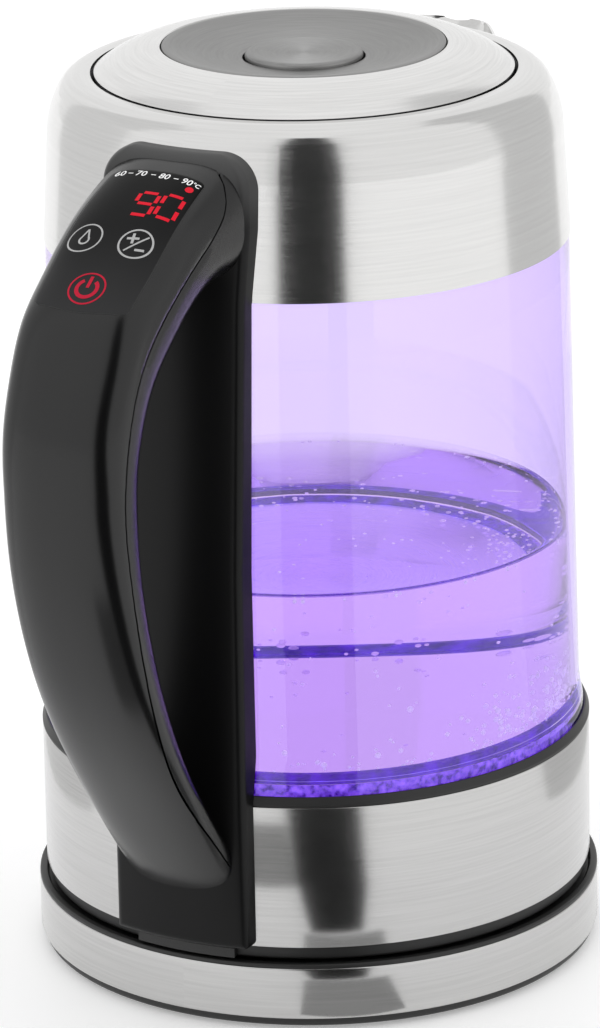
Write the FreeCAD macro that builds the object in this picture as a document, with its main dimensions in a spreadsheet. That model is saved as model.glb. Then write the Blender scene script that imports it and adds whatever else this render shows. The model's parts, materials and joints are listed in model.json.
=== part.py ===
import FreeCAD, Part
import math
import os
import Sketcher

# Cordless electric kettle: a power base and a glass jug with a steel collar, a hinged lid and a
# closed-loop handle that carries the touch controls. Millimetres. The origin is on the standing
# surface, on the jug's axis. +Z is up, the spout points to +X and the handle to -X.

DIMENSIONS = {
    # power base
    "foot_height": 1.2,
    "foot_radius": 6,
    "foot_circle": 64,
    "pan_radius": 78.2,
    "pan_top": 17,
    "base_wall": 2.2,
    "base_band_radius": 79,
    "base_band_low": 3.8,
    "base_band_top": 18.6,
    "deck_level": 18.2,
    "deck_rim_top": 19.8,
    "deck_rim_inner": 76.5,
    "boss_radius": 26,
    "boss_top": 24.2,
    "base_screw_circle": 50,
    "screw_radius": 1.5,
    "screw_head": 3,
    "gland_angle": 30,
    "gland_bore": 3.4,
    "gland_radius": 5.2,
    "gland_level": 10.4,
    # cordless connector
    "socket_radius": 13.8,
    "socket_well": 11.6,
    "socket_floor": 9.8,
    "socket_low": 8,
    "post_radius": 3,
    "post_top": 21.4,
    "contact_wall": 0.6,
    "connector_radius": 10,
    "connector_bore": 4.6,
    "connector_low": 11.8,
    "ring_inner": 4.2,
    "ring_outer": 10.4,
    # jug bottom
    "cover_low": 20,
    "cover_radius": 75.8,
    "cover_recess": 27.4,
    "steel_wall": 0.6,
    "lower_band_radius": 76.8,
    "lower_band_low": 23.5,
    "lower_band_top": 64.4,
    "chassis_ledge": 54.4,
    "jug_screw_circle": 67,
    "retainer_top": 67.2,
    # glass
    "glass_wall": 2.5,
    "glass_low": 63.8,
    "glass_foot_radius": 75.2,
    "glass_foot_top": 68.2,
    "glass_waist_radius": 74,
    "glass_waist_level": 77.5,
    "glass_top_radius": 71.8,
    "glass_neck_radius": 70.6,
    "glass_top": 211,
    # heater
    "plate_radius": 69.5,
    "plate_top": 69.7,
    "plate_wall": 0.8,
    "element_circle": 45,
    "element_radius": 4,
    "light_ring_outer": 72.3,
    # collar
    "collar_wall": 0.8,
    "collar_low": 204.3,
    "collar_low_radius": 72.1,
    "shoulder_level": 232.6,
    "shoulder_radius": 70.4,
    "shoulder_large_arc": 28.35,
    "shoulder_small_arc": 7.5,
    "shoulder_joint_radius": 67,
    "shoulder_joint_level": 246.06,
    "mouth_outer": 60.4,
    "mouth_radius": 58.1,
    "collar_top": 250,
    # lid
    "lid_radius": 57.1,
    "lid_edge_low": 249,
    "lid_edge_top": 250.2,
    "lid_crown_arc": 30,
    "disc_radius": 38.7,
    "disc_rim_level": 257,
    "disc_centre_level": 253.4,
    "disc_arc": 70,
    "disc_wall": 1.4,
    "button_radius": 16.1,
    "button_top": 254.7,
    "lid_body_radius": 56,
    "lid_body_top": 248.8,
    "lid_body_low": 240,
    "well_radius": 16.9,
    "pivot_radius": 62.2,
    "pivot_level": 245.6,
    "pin_radius": 1,
    "pin_clearance": 0.06,
    "arm_width": 14,
    # handle
    "spine_low": 24.4,
    "spine_low_width": 20.2,
    "spine_waist_width": 19.5,
    "spine_waist_level": 130,
    "spine_mid_width": 20.5,
    "spine_mid_level": 206,
    "spine_head_width": 21.8,
    "spine_head_level": 224,
    "spine_top": 244.1,
    "spine_low_radius": 82.2,
    "spine_mid_radius": 77.5,
    "spine_head_radius": 76.8,
    "spine_top_radius": 72.8,
    "spine_top_back": 68.2,
    "spine_top_arc": 20,
    "handle_wall": 2.4,
    "seam_gap": 0.35,
    "panel_thickness": 1.4,
    "panel_gap": 0.2,
    "board_tilt": 31,
}

doc = FreeCAD.newDocument("Kettle")
sheet = doc.addObject("Spreadsheet::Sheet", "Dims")
SUB_PARTS = []


class Size:
    """A length that knows its value and the spreadsheet formula it comes from."""

    def __init__(self, value, formula):
        self.value = value
        self.formula = formula

    def join(self, other, sign, value, swap=False):
        other_formula = formula_of(other)
        first, second = (other_formula, self.formula) if swap else (self.formula, other_formula)
        return Size(value, "(" + first + " " + sign + " " + second + ")")

    def __add__(self, other):
        return self.join(other, "+", self.value + number(other))

    __radd__ = __add__

    def __sub__(self, other):
        return self.join(other, "-", self.value - number(other))

    def __rsub__(self, other):
        return self.join(other, "-", number(other) - self.value, swap=True)

    def __mul__(self, other):
        return self.join(other, "*", self.value * number(other))

    __rmul__ = __mul__

    def __truediv__(self, other):
        return self.join(other, "/", self.value / number(other))

    def __neg__(self):
        return self * -1


def number(size):
    return size.value if isinstance(size, Size) else float(size)


def formula_of(size):
    return size.formula if isinstance(size, Size) else repr(float(size))


def fill_sheet():
    sizes = {}
    for row, (alias, value) in enumerate(DIMENSIONS.items(), start=1):
        sheet.set("A%d" % row, alias)
        sheet.set("B%d" % row, str(value))
        sheet.setAlias("B%d" % row, alias)
        sizes[alias] = Size(float(value), "Dims." + alias)
    doc.recompute()
    return sizes


D = fill_sheet()


def bind(thing, prop, size):
    """Give a property its value, and its spreadsheet formula where it has one."""
    if isinstance(size, Size):
        thing.setExpression(prop, size.formula)
    elif prop.startswith("Placement.Base."):
        base = thing.Placement.Base
        setattr(base, prop[-1], float(size))
        thing.Placement = FreeCAD.Placement(base, thing.Placement.Rotation)
    else:
        setattr(thing, prop, float(size))


def place(thing, x=0, y=0, z=0, axis=None, angle=0):
    rotation = FreeCAD.Rotation(FreeCAD.Vector(*(axis or (0, 0, 1))), angle)
    home = FreeCAD.Vector(number(x), number(y), number(z))
    thing.Placement = FreeCAD.Placement(home, rotation)
    for letter, size in zip("xyz", (x, y, z)):
        if isinstance(size, Size):
            thing.setExpression("Placement.Base." + letter, size.formula)
    return thing


class Bend:
    """A profile point reached by an arc. A positive radius turns anticlockwise."""

    def __init__(self, across, up, radius):
        self.point = (across, up)
        self.radius = radius


def point_of(item):
    return item.point if isinstance(item, Bend) else item


def flat(item):
    across, up = point_of(item)
    return FreeCAD.Vector(number(across), number(up), 0)


def arc_between(start, end, radius):
    half = (end - start) * 0.5
    reach = abs(radius)
    rise = math.sqrt(max(reach ** 2 - half.Length ** 2, 0))
    left = FreeCAD.Vector(-half.y, half.x, 0).normalize()
    centre = start + half + left * (rise if radius > 0 else -rise)
    first, last = (start, end) if radius > 0 else (end, start)
    angles = [math.atan2(p.y - centre.y, p.x - centre.x) for p in (first, last)]
    circle = Part.Circle(centre, FreeCAD.Vector(0, 0, 1), reach)
    return Part.ArcOfCircle(circle, angles[0], angles[1])


def draw_profile(sketch, profile):
    """Closed outline: each corner is held to its own pair of sizes, each arc to its radius."""
    corners = [flat(item) for item in profile]
    ends = []
    for index, item in enumerate(profile):
        start = corners[index - 1]
        end = corners[index]
        if isinstance(item, Bend):
            radius = number(item.radius)
            edge = sketch.addGeometry(arc_between(start, end, radius), False)
            ends.append((edge, 1, 2) if radius > 0 else (edge, 2, 1))
        else:
            edge = sketch.addGeometry(Part.LineSegment(start, end), False)
            ends.append((edge, 1, 2))
    count = len(profile)
    rules = []
    formulas = []

    def rule(constraint, size=None):
        rules.append(constraint)
        if isinstance(size, Size):
            formulas.append((len(rules) - 1, size.formula))

    for index, item in enumerate(profile):
        edge, _, tail = ends[index]
        following, head, _ = ends[(index + 1) % count]
        rule(Sketcher.Constraint("Coincident", edge, tail, following, head))
        for kind, size, axis in zip(("DistanceX", "DistanceY"), point_of(item), (-2, -1)):
            if number(size) == 0:
                rule(Sketcher.Constraint("PointOnObject", edge, tail, axis))
            else:
                rule(Sketcher.Constraint(kind, -1, 1, edge, tail, number(size)), size)
        if isinstance(item, Bend):
            size = item.radius if number(item.radius) > 0 else -1 * item.radius
            rule(Sketcher.Constraint("Radius", edge, number(size)), size)
    sketch.addConstraint(rules)
    for index, formula in formulas:
        sketch.setExpression("Constraints[%d]" % index, formula)


def new_body(name, plane, profile):
    body = doc.addObject("PartDesign::Body", name)
    sketch = body.newObject("Sketcher::SketchObject", name + "_outline")
    support = [f for f in body.Origin.OriginFeatures if f.Role == plane][0]
    sketch.AttachmentSupport = (support, [""])
    sketch.MapMode = "FlatFace"
    draw_profile(sketch, profile)
    sketch.Visibility = False
    return body, sketch


def turned(name, profile, angle=360):
    """A piece turned about the upright axis; a part turn is centred on +X."""
    body, sketch = new_body(name, "XZ_Plane", profile)
    spin = body.newObject("PartDesign::Revolution", name + "_turn")
    spin.Profile = sketch
    spin.ReferenceAxis = (sketch, ["V_Axis"])
    spin.Angle = angle
    spin.Midplane = angle < 360
    return body


def padded(name, plane, profile, length, both_ways=False, backward=False):
    body, sketch = new_body(name, plane, profile)
    pad = body.newObject("PartDesign::Pad", name + "_pad")
    pad.Profile = sketch
    bind(pad, "Length", length)
    pad.Midplane = both_ways
    pad.Reversed = backward
    return body


def ring(name, inner, outer, low, high):
    return turned(name, [(inner, low), (outer, low), (outer, high), (inner, high)])


def cylinder(name, radius, height, x=0, y=0, z=0, axis=None, angle=0):
    rod = doc.addObject("Part::Cylinder", name)
    bind(rod, "Radius", radius)
    bind(rod, "Height", height)
    return place(rod, x, y, z, axis, angle)


def block(name, length, width, height, x=0, y=0, z=0):
    """A box centred on x and y that stands on z."""
    box = doc.addObject("Part::Box", name)
    bind(box, "Length", length)
    bind(box, "Width", width)
    bind(box, "Height", height)
    return place(box, x - length / 2, y - width / 2, z)


def boolean(kind, name, pieces):
    thing = doc.addObject(kind, name)
    thing.Shapes = pieces
    return thing


def fuse(name, pieces):
    return boolean("Part::MultiFuse", name, pieces)


def common(name, pieces):
    return boolean("Part::MultiCommon", name, pieces)


def cut(name, base, tool):
    thing = doc.addObject("Part::Cut", name)
    thing.Base = base
    thing.Tool = tool
    return thing


def group(name, pieces):
    thing = doc.addObject("Part::Compound", name)
    thing.Links = pieces
    return thing


def shaped(name, shape):
    thing = doc.addObject("Part::Feature", name)
    thing.Shape = shape
    return thing


def sub_part(node, thing):
    thing.Label = node
    SUB_PARTS.append(thing)
    return thing


def circle_places(count, radius, first=0.0):
    """Places on a circle, with their angles: the radius may be a Size."""
    for index in range(count):
        angle = first + 360.0 * index / count
        turn = math.radians(angle)
        yield index, angle, radius * math.cos(turn), radius * math.sin(turn)


def screw(name, x, y, low, high, radius, head_radius, head_height):
    """A screw driven upward: its head is at the bottom."""
    head = cylinder(name + "_head", head_radius, head_height, x, y, low)
    shank = cylinder(name + "_shank", radius, high - low, x, y, low)
    return fuse(name, [head, shank])


# ---------------------------------------------------------------- power base

BASE_SCREWS = 4
GLAND_AXIS = (math.cos(math.radians(120)), math.sin(math.radians(120)), 0)


def gland_rod(name, radius, near, far):
    """A rod along the cord's way through the base wall."""
    way = math.radians(DIMENSIONS["gland_angle"])
    rod = cylinder(name, radius, far - near, near * math.cos(way), near * math.sin(way),
                   D["gland_level"], GLAND_AXIS, 90)
    return rod


def build_base_pan():
    low = D["foot_height"]
    inner = D["pan_radius"] - D["base_wall"]
    floor = low + D["base_wall"]
    shell = turned("pan_shell", [
        (0, low), (D["pan_radius"] - 1.6, low), Bend(D["pan_radius"], low + 1.6, 1.6),
        (D["pan_radius"], D["pan_top"]), (inner, D["pan_top"]), (inner, floor), (0, floor)])
    tools = [gland_rod("pan_cord_hole", D["gland_radius"] + 0.1, D["pan_radius"] - 8,
                       D["pan_radius"] + 4)]
    for index, _, x, y in circle_places(BASE_SCREWS, D["base_screw_circle"], 45):
        hole = D["screw_radius"] + 0.2
        tools.append(cylinder("pan_hole_%d" % index, hole, 6, x, y, 0))
        tools.append(cylinder("pan_sink_%d" % index, D["screw_head"] + 0.2, 1.2, x, y, low - 0.1))
    sub_part("base_pan", cut("pan_cut", shell, fuse("pan_tools", tools)))


def build_base_band():
    outer = D["base_band_radius"]
    sleeve = ring("base_band_sleeve", outer - D["steel_wall"], outer, D["base_band_low"],
                  D["base_band_top"])
    hole = gland_rod("base_band_hole", D["gland_radius"] + 0.1, outer - 8, outer + 4)
    sub_part("base_steel_band", cut("base_band_cut", sleeve, hole))


def build_base_deck():
    level = D["deck_level"]
    rim = D["deck_rim_top"]
    hole = D["socket_radius"] + 0.4
    skirt = D["pan_radius"] - D["base_wall"] - 0.2
    shell = turned("deck_shell", [
        (hole, D["boss_top"]), (D["boss_radius"], D["boss_top"]), (D["boss_radius"], level),
        (D["deck_rim_inner"], level), (D["deck_rim_inner"], rim - 0.6),
        Bend(D["deck_rim_inner"] + 0.6, rim, -0.6), (D["base_band_radius"] - 0.7, rim),
        Bend(D["base_band_radius"] - 0.1, rim - 0.6, -0.6),
        (D["base_band_radius"] - 0.1, D["base_band_top"] + 0.1),
        (D["pan_radius"] + 0.1, D["base_band_top"] + 0.1),
        (D["pan_radius"] + 0.1, D["pan_top"] + 0.1), (skirt, D["pan_top"] + 0.1), (skirt, 15.8),
        (skirt - 1.8, 15.8), (skirt - 1.8, level - 1.8), (D["boss_radius"] - 1.8, level - 1.8),
        (D["boss_radius"] - 1.8, D["boss_top"] - 1.8), (hole, D["boss_top"] - 1.8)])
    pieces = [shell]
    holes = []
    low = D["foot_height"] + D["base_wall"] + 0.1
    for index, _, x, y in circle_places(BASE_SCREWS, D["base_screw_circle"], 45):
        pieces.append(cylinder("deck_post_%d" % index, 4, level - low - 1.7, x, y, low))
        holes.append(cylinder("deck_pilot_%d" % index, D["screw_radius"] + 0.05, 11, x, y, low))
    solid = fuse("deck_solid", pieces)
    sub_part("base_deck", cut("deck_cut", solid, fuse("deck_pilots", holes)))


def build_base_fittings():
    feet = []
    screws = []
    for index, _, x, y in circle_places(4, D["foot_circle"], 0):
        feet.append(cylinder("foot_%d" % index, D["foot_radius"], D["foot_height"], x, y, 0))
    feet.append(cylinder("centre_foot", D["foot_radius"], D["foot_height"], 0, 0, 0))
    for index, _, x, y in circle_places(BASE_SCREWS, D["base_screw_circle"], 45):
        screws.append(screw("base_screw_%d" % index, x, y, D["foot_height"] + 0.1, 13.6,
                            D["screw_radius"], D["screw_head"], 1))
    sub_part("base_feet", group("feet", feet))
    sub_part("base_screws", group("base_screw_set", screws))
    gland = gland_rod("gland_body", D["gland_radius"], D["pan_radius"] - 6,
                      D["base_band_radius"] + 0.6)
    bore = gland_rod("gland_hole", D["gland_bore"], D["pan_radius"] - 7,
                     D["base_band_radius"] + 2)
    sub_part("cord_gland", cut("gland_cut", gland, bore))
    body = block("terminal_body", 14, 24, 8, 44, 0, D["foot_height"] + D["base_wall"])
    wells = [cylinder("terminal_well_%d" % k, 2.4, 6, 44, 7 * (k - 1), 8) for k in range(3)]
    sub_part("terminal_block", cut("terminal_cut", body, fuse("terminal_wells", wells)))


def build_socket():
    well = D["socket_well"]
    floor = D["socket_floor"]
    flange = D["boss_radius"] - 2.2
    sub_part("base_socket", turned("socket_body", [
        (0, D["socket_low"]), (D["socket_radius"], D["socket_low"]),
        (D["socket_radius"], D["boss_top"] - 4), (flange, D["boss_top"] - 4),
        (flange, D["boss_top"] - 2), (well, D["boss_top"] - 2), (well, floor),
        (D["post_radius"], floor), (D["post_radius"], D["post_top"]), (0, D["post_top"])]))
    inner = ring("contact_inner", D["post_radius"] + 0.1,
                 D["post_radius"] + 0.1 + D["contact_wall"], floor + 0.1, 19)
    outer = ring("contact_outer", well - 0.1 - D["contact_wall"], well - 0.1, floor + 0.1, 19)
    sub_part("socket_contacts", group("contact_rings", [inner, outer]))
    sub_part("socket_ring", ring("loose_ring", D["ring_inner"], D["ring_outer"], floor + 0.2,
                                 floor + 1.6))


# ---------------------------------------------------------------- jug bottom

JUG_SCREWS = 3


def build_jug_cover():
    low = D["cover_low"]
    recess = D["cover_recess"]
    ceiling = D["boss_top"] + 1
    outer = D["cover_radius"]
    foot = D["deck_level"] + 0.15
    hole = D["connector_radius"] + 0.6
    shell = turned("cover_shell", [
        (hole, ceiling), (recess, ceiling), (recess, low), (60, low), (60, foot), (64, foot),
        (64, low), (outer - 0.8, low), Bend(outer, low + 0.8, 0.8), (outer, D["lower_band_low"]),
        (outer - 1.2, D["lower_band_low"]), (outer - 1.2, low + 1.8), (recess + 1.8, low + 1.8),
        (recess + 1.8, ceiling + 1.8), (hole, ceiling + 1.8)])
    tab = turned("cover_tab", [
        (outer - 0.5, low + 0.6), (outer + 2.6, low + 0.6), (outer + 2.6, low + 3.3),
        (outer - 0.5, low + 3.3)], 22)
    place(tab, axis=(0, 0, 1), angle=180)
    holes = []
    for index, _, x, y in circle_places(JUG_SCREWS, D["jug_screw_circle"], 60):
        holes.append(cylinder("cover_hole_%d" % index, D["screw_radius"] + 0.2, 8, x, y, 17))
        holes.append(cylinder("cover_sink_%d" % index, D["screw_head"] + 0.2, 1.2, x, y,
                              low - 0.1))
    solid = fuse("cover_solid", [shell, tab])
    sub_part("jug_base_cover", cut("cover_cut", solid, fuse("cover_holes", holes)))


def build_connector():
    radius = D["connector_radius"]
    bore = D["connector_bore"]
    low = D["connector_low"]
    sub_part("jug_connector", turned("connector_body", [
        (bore, low), (radius, low), (radius, 27.2), (17, 27.2), (17, 31), (0, 31), (0, 23),
        (bore, 23)]))
    wall = D["contact_wall"]
    inner = ring("pickup_inner", bore - 0.1 - wall, bore - 0.1, 13, 22)
    outer = ring("pickup_outer", radius + 0.1, radius + 0.1 + wall, 13, 22)
    sub_part("connector_contacts", group("pickups", [inner, outer]))


def build_lower_band():
    outer = D["lower_band_radius"]
    inner = outer - D["steel_wall"]
    low = D["lower_band_low"]
    high = D["lower_band_top"]
    sub_part("lower_steel_band", turned("lower_band", [
        (inner, low + 0.1), (outer - 0.4, low + 0.1), Bend(outer, low + 0.5, 0.4), (outer, high),
        (inner, high)]))


def build_chassis():
    outer = D["lower_band_radius"] - D["steel_wall"] - 0.1
    inner = outer - 2.7
    ledge = D["chassis_ledge"]
    shell = turned("chassis_shell", [
        (inner, 23.7), (outer, 23.7), (outer, 62.6), (inner, 62.6), (inner, ledge + 2),
        (62, ledge + 2), (62, ledge), (inner, ledge)])
    posts = []
    holes = []
    for index, _, x, y in circle_places(JUG_SCREWS, D["jug_screw_circle"], 60):
        posts.append(cylinder("chassis_post_%d" % index, 4, ledge - 21.9, x, y, 22))
        holes.append(cylinder("chassis_pilot_%d" % index, D["screw_radius"] + 0.05, 12, x, y, 22))
    solid = fuse("chassis_solid", [shell] + posts)
    sub_part("chassis_ring", cut("chassis_cut", solid, fuse("chassis_pilots", holes)))


def build_jug_screws():
    screws = []
    for index, _, x, y in circle_places(JUG_SCREWS, D["jug_screw_circle"], 60):
        screws.append(screw("jug_screw_%d" % index, x, y, D["cover_low"] + 0.05, 33,
                            D["screw_radius"], D["screw_head"], 1))
    sub_part("jug_screws", group("jug_screw_set", screws))


def build_retaining_ring():
    bore = D["glass_foot_radius"] + 0.15
    inner = D["lower_band_radius"] - D["steel_wall"] - 0.1
    step = D["lower_band_top"] + 0.1
    top = D["retainer_top"]
    sub_part("retaining_ring", turned("retainer", [
        (bore, 62.7), (inner, 62.7), (inner, step), (D["lower_band_radius"], step),
        (D["lower_band_radius"], step + 0.6), Bend(bore + 0.5, top, 2.6), (bore, top)]))


def build_glass():
    wall = D["glass_wall"]
    foot = D["glass_foot_radius"]
    waist = D["glass_waist_radius"]
    top = D["glass_top_radius"]
    neck = D["glass_neck_radius"]
    edge = D["collar_low"] - 0.1
    sub_part("glass_jug", turned("glass_wall_body", [
        (foot - wall, D["glass_low"]), (foot, D["glass_low"]), (foot, D["glass_foot_top"]),
        Bend(waist, D["glass_waist_level"], -60), (top, edge), (neck, edge),
        (neck, D["glass_top"] - 0.5), Bend(neck - 0.5, D["glass_top"], 0.5),
        (neck - 2.3, D["glass_top"]), (neck - 2.3, edge + 1.2), (top - wall, edge - 2),
        (waist - wall, D["glass_waist_level"]), Bend(foot - wall, D["glass_foot_top"], 60)]))


def build_seals():
    foot = D["glass_foot_radius"]
    neck = D["glass_neck_radius"]
    sub_part("lower_seal", ring("lower_gasket", foot - D["glass_wall"], foot,
                                D["glass_low"] - 1.1, D["glass_low"] - 0.1))
    sub_part("upper_seal", ring("upper_gasket", neck - 2.4, neck, D["glass_top"] + 0.1,
                                D["glass_top"] + 2))


# ---------------------------------------------------------------- heater and electrics

LAMPS = 18


def build_heater():
    radius = D["plate_radius"]
    top = D["plate_top"]
    wall = D["plate_wall"]
    sub_part("heater_plate", turned("plate", [
        (0, top - wall), (radius - wall, top - wall), (radius - wall, D["chassis_ledge"] + 2.1),
        (radius, D["chassis_ledge"] + 2.1), (radius, top - 1.2), Bend(radius - 1.2, top, 1.2),
        (0, top)]))
    spread_low = top - wall - 1.1
    sub_part("heat_spreader", cylinder("spreader", 62, 1, 0, 0, spread_low))
    coil = doc.addObject("Part::Torus", "element_loop")
    bind(coil, "Radius1", D["element_circle"])
    bind(coil, "Radius2", D["element_radius"])
    coil.Angle3 = 330
    place(coil, 0, 0, spread_low - D["element_radius"] - 0.05)
    legs = []
    for name, angle in (("element_leg_a", 6), ("element_leg_b", 324)):
        way = math.radians(angle)
        legs.append(cylinder(name, 3, 10, D["element_circle"] * math.cos(way),
                             D["element_circle"] * math.sin(way), spread_low - 18))
    sub_part("heating_element", fuse("element", [coil] + legs))
    sub_part("thermostat", cylinder("thermostat_body", 10, 7, 0, 0, spread_low - 7.1))
    sub_part("temperature_probe", cylinder("probe_body", 2.2, 9, 20, 0, spread_low - 9.1))


def build_lights():
    inner = D["plate_radius"] + 0.3
    outer = D["light_ring_outer"]
    ledge = D["chassis_ledge"] + 2.1
    sub_part("light_ring", ring("light_guide", inner, outer, ledge + 3.9, D["plate_top"] - 0.2))
    sub_part("lamp_board", ring("lamp_circuit", inner, outer + 0.9, ledge, ledge + 1.6))
    lamps = []
    for index, angle, x, y in circle_places(LAMPS, D["light_ring_outer"] - 1.2):
        lamp = block("lamp_%d" % index, 1.8, 2.6, 1.7, 0, 0, 0)
        turn = math.radians(angle)
        corner_x = -0.9 * math.cos(turn) + 1.3 * math.sin(turn)
        corner_y = -0.9 * math.sin(turn) - 1.3 * math.cos(turn)
        lamps.append(place(lamp, x + corner_x, y + corner_y, ledge + 1.65, (0, 0, 1), angle))
    sub_part("lamps", group("lamp_set", lamps))


def build_power_board():
    sub_part("power_board", block("power_circuit", 70, 48, 1.6, 0, 0, 34))
    relay = block("relay", 19, 15, 12, -18, 8, 35.7)
    coil = block("transformer", 18, 16, 14, 12, -10, 35.7)
    can = cylinder("capacitor", 5, 13, 14, 12, 35.7)
    sub_part("power_parts", group("power_part_set", [relay, coil, can]))


# ---------------------------------------------------------------- collar and spout


def collar_outline(inset):
    """The collar's curved outer face from its lower edge to its flat top, moved in by inset."""
    large = D["shoulder_large_arc"]
    small = D["shoulder_small_arc"]
    centre_x = D["shoulder_radius"] - large
    lean_x = (D["shoulder_joint_radius"] - centre_x) / large
    lean_z = (D["shoulder_joint_level"] - D["shoulder_level"]) / large
    return [
        (D["collar_low_radius"] - inset, D["collar_low"]),
        (D["shoulder_radius"] - inset, D["shoulder_level"]),
        Bend(D["shoulder_joint_radius"] - inset * lean_x,
             D["shoulder_joint_level"] - inset * lean_z, large - inset),
        Bend(D["mouth_outer"], D["collar_top"] - inset, small - inset)]


def beak_station(x, half_width, low, high, lift):
    """One closed cross-section of the pouring beak: a rounded V, with sides raised by lift."""
    steps = 10
    points = []
    for step in range(steps + 1):
        turn = math.pi * step / steps
        c, s = math.cos(turn), math.sin(turn)
        y = half_width * math.copysign(abs(c) ** 1.15, c)
        points.append(FreeCAD.Vector(x, y, high - (high - low) * s ** 1.15))
    curve = Part.BSplineCurve()
    curve.interpolate(points)
    up = FreeCAD.Vector(0, 0, lift)
    loop = [points[-1], points[-1] + up, points[0] + up, points[0]]
    if lift == 0:
        loop = [points[-1], points[0]]
    sides = [Part.makeLine(a, b) for a, b in zip(loop, loop[1:])]
    return Part.Wire([curve.toShape()] + sides)


# x, half width, lowest level, top level
BEAK_STATIONS = [(60, 25.5, 213, 246.5), (72, 22, 221, 245.4), (84, 14.6, 233.2, 244.3),
                 (90.5, 8.6, 239.6, 243.6), (92.6, 5, 241.3, 243.2)]


def beak_solid(name, stations, inset=0, drop=0, lift=0):
    """The beak's closed form, or with inset its inside: the floor slopes, so it moves further."""
    wires = []
    for x, half_width, low, high in stations:
        wires.append(beak_station(x, half_width - inset, low + 1.4 * inset, high - drop, lift))
    return shaped(name, Part.makeLoft(wires, True, False))


def build_collar():
    wall = D["collar_wall"]
    outside = collar_outline(0)
    inside = collar_outline(wall)
    inner_back = [(D["mouth_outer"], D["collar_top"] - wall),
                  Bend(*point_of(inside[2]), -1 * (D["shoulder_small_arc"] - wall)),
                  Bend(*inside[1], -1 * (D["shoulder_large_arc"] - wall)), inside[0]]
    shell = turned("collar_shell", outside + [
        (D["mouth_radius"], D["collar_top"]), (D["mouth_radius"], D["collar_top"] - wall)]
        + inner_back)
    filled = turned("collar_filled", [(0, D["collar_low"])] + outside + [(0, D["collar_top"])])
    thickness = DIMENSIONS["collar_wall"]
    outer = beak_solid("beak_outer", BEAK_STATIONS)
    inner = beak_solid("beak_inner", BEAK_STATIONS[:3], thickness, 1)
    opened = beak_solid("beak_opened", BEAK_STATIONS, thickness, 0, 9)
    trough = cut("beak_trough", cut("beak_hollow", outer, opened), filled)
    window = cut("collar_window", shell, inner)
    sub_part("steel_collar", fuse("collar_with_beak", [window, trough]))


def build_collar_frame():
    bore = D["mouth_radius"] - 0.7
    profile = turned("frame_shell", [
        (bore, 234), (68.8, 234), (68.8, 236), (66, 244.5), (62, 248.7), (58.3, 248.9),
        (bore, 248)])
    pivot = -D["pivot_radius"]
    hinge_gap = block("frame_hinge_gap", 24, D["arm_width"] + 2.4, 20, -67, 0, 232)
    spout_gap = block("frame_spout_gap", 24, 34, 11.5, 66, 0, 232)
    tools = [hinge_gap, spout_gap]
    for name, side in (("frame_notch_left", 1), ("frame_notch_right", -1)):
        tools.append(block(name, 12, 4, 9.5, 0, side * 56.7, 240))
    tools.append(cylinder("frame_pin_hole", D["pin_radius"] + 0.02, 30, pivot, 15,
                          D["pivot_level"], (1, 0, 0), 90))
    sub_part("collar_frame", cut("frame_cut", profile, fuse("frame_tools", tools)))
    sub_part("hinge_pin", cylinder("pin", D["pin_radius"], 26, pivot, 13, D["pivot_level"],
                                   (1, 0, 0), 90))


def build_filter():
    low, high, half_turn = 214.5, 233.8, 40
    panel = turned("filter_panel", [(61, low), (63.4, low), (63.4, high), (61, high)], half_turn)
    window = turned("filter_window", [(60, low + 2), (64, low + 2), (64, high - 2),
                                      (60, high - 2)], half_turn - 5)
    sub_part("filter_frame", cut("filter_frame_cut", panel, window))
    sheet_low, sheet_high = low + 2.1, high - 2.1
    sheet_body = turned("filter_sheet", [(62, sheet_low), (62.4, sheet_low), (62.4, sheet_high),
                                         (62, sheet_high)], half_turn - 5.4)
    holes = []
    for row in range(5):
        for column in range(11):
            way = (column - 5) * 3
            x, y = math.cos(math.radians(way)), math.sin(math.radians(way))
            hole = cylinder("filter_hole_%d_%d" % (row, column), 1.1, 5, 60 * x, 60 * y,
                            sheet_low + 2 + row * 2.8, (-y, x, 0), 90)
            holes.append(hole)
    sub_part("filter_mesh", cut("filter_mesh_cut", sheet_body, group("filter_holes", holes)))


# ---------------------------------------------------------------- lid


LID_SCREWS = 3


def build_lid_cap():
    wall = D["collar_wall"]
    edge = D["lid_radius"]
    disc = D["disc_radius"] + 0.2
    sub_part("lid_cap", turned("cap_ring", [
        (edge - wall, D["lid_edge_low"]), (edge, D["lid_edge_low"]), (edge, D["lid_edge_top"]),
        Bend(disc, D["disc_rim_level"], D["lid_crown_arc"]),
        (disc, D["disc_rim_level"] - wall),
        Bend(edge - wall, D["lid_edge_top"] - 0.2, -1 * (D["lid_crown_arc"] - wall))]))


def build_lid_disc():
    outer = D["disc_radius"]
    hole = D["button_radius"] + 0.6
    rim = D["disc_rim_level"]
    centre = D["disc_centre_level"]
    wall = D["disc_wall"]
    sub_part("lid_disc", turned("dished_disc", [
        (hole, centre - wall), (outer, rim - wall), (outer, rim - 0.3),
        Bend(outer - 0.3, rim, 0.3), (outer - 1.2, rim),
        Bend(hole, centre, -1 * D["disc_arc"])]))


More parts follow.
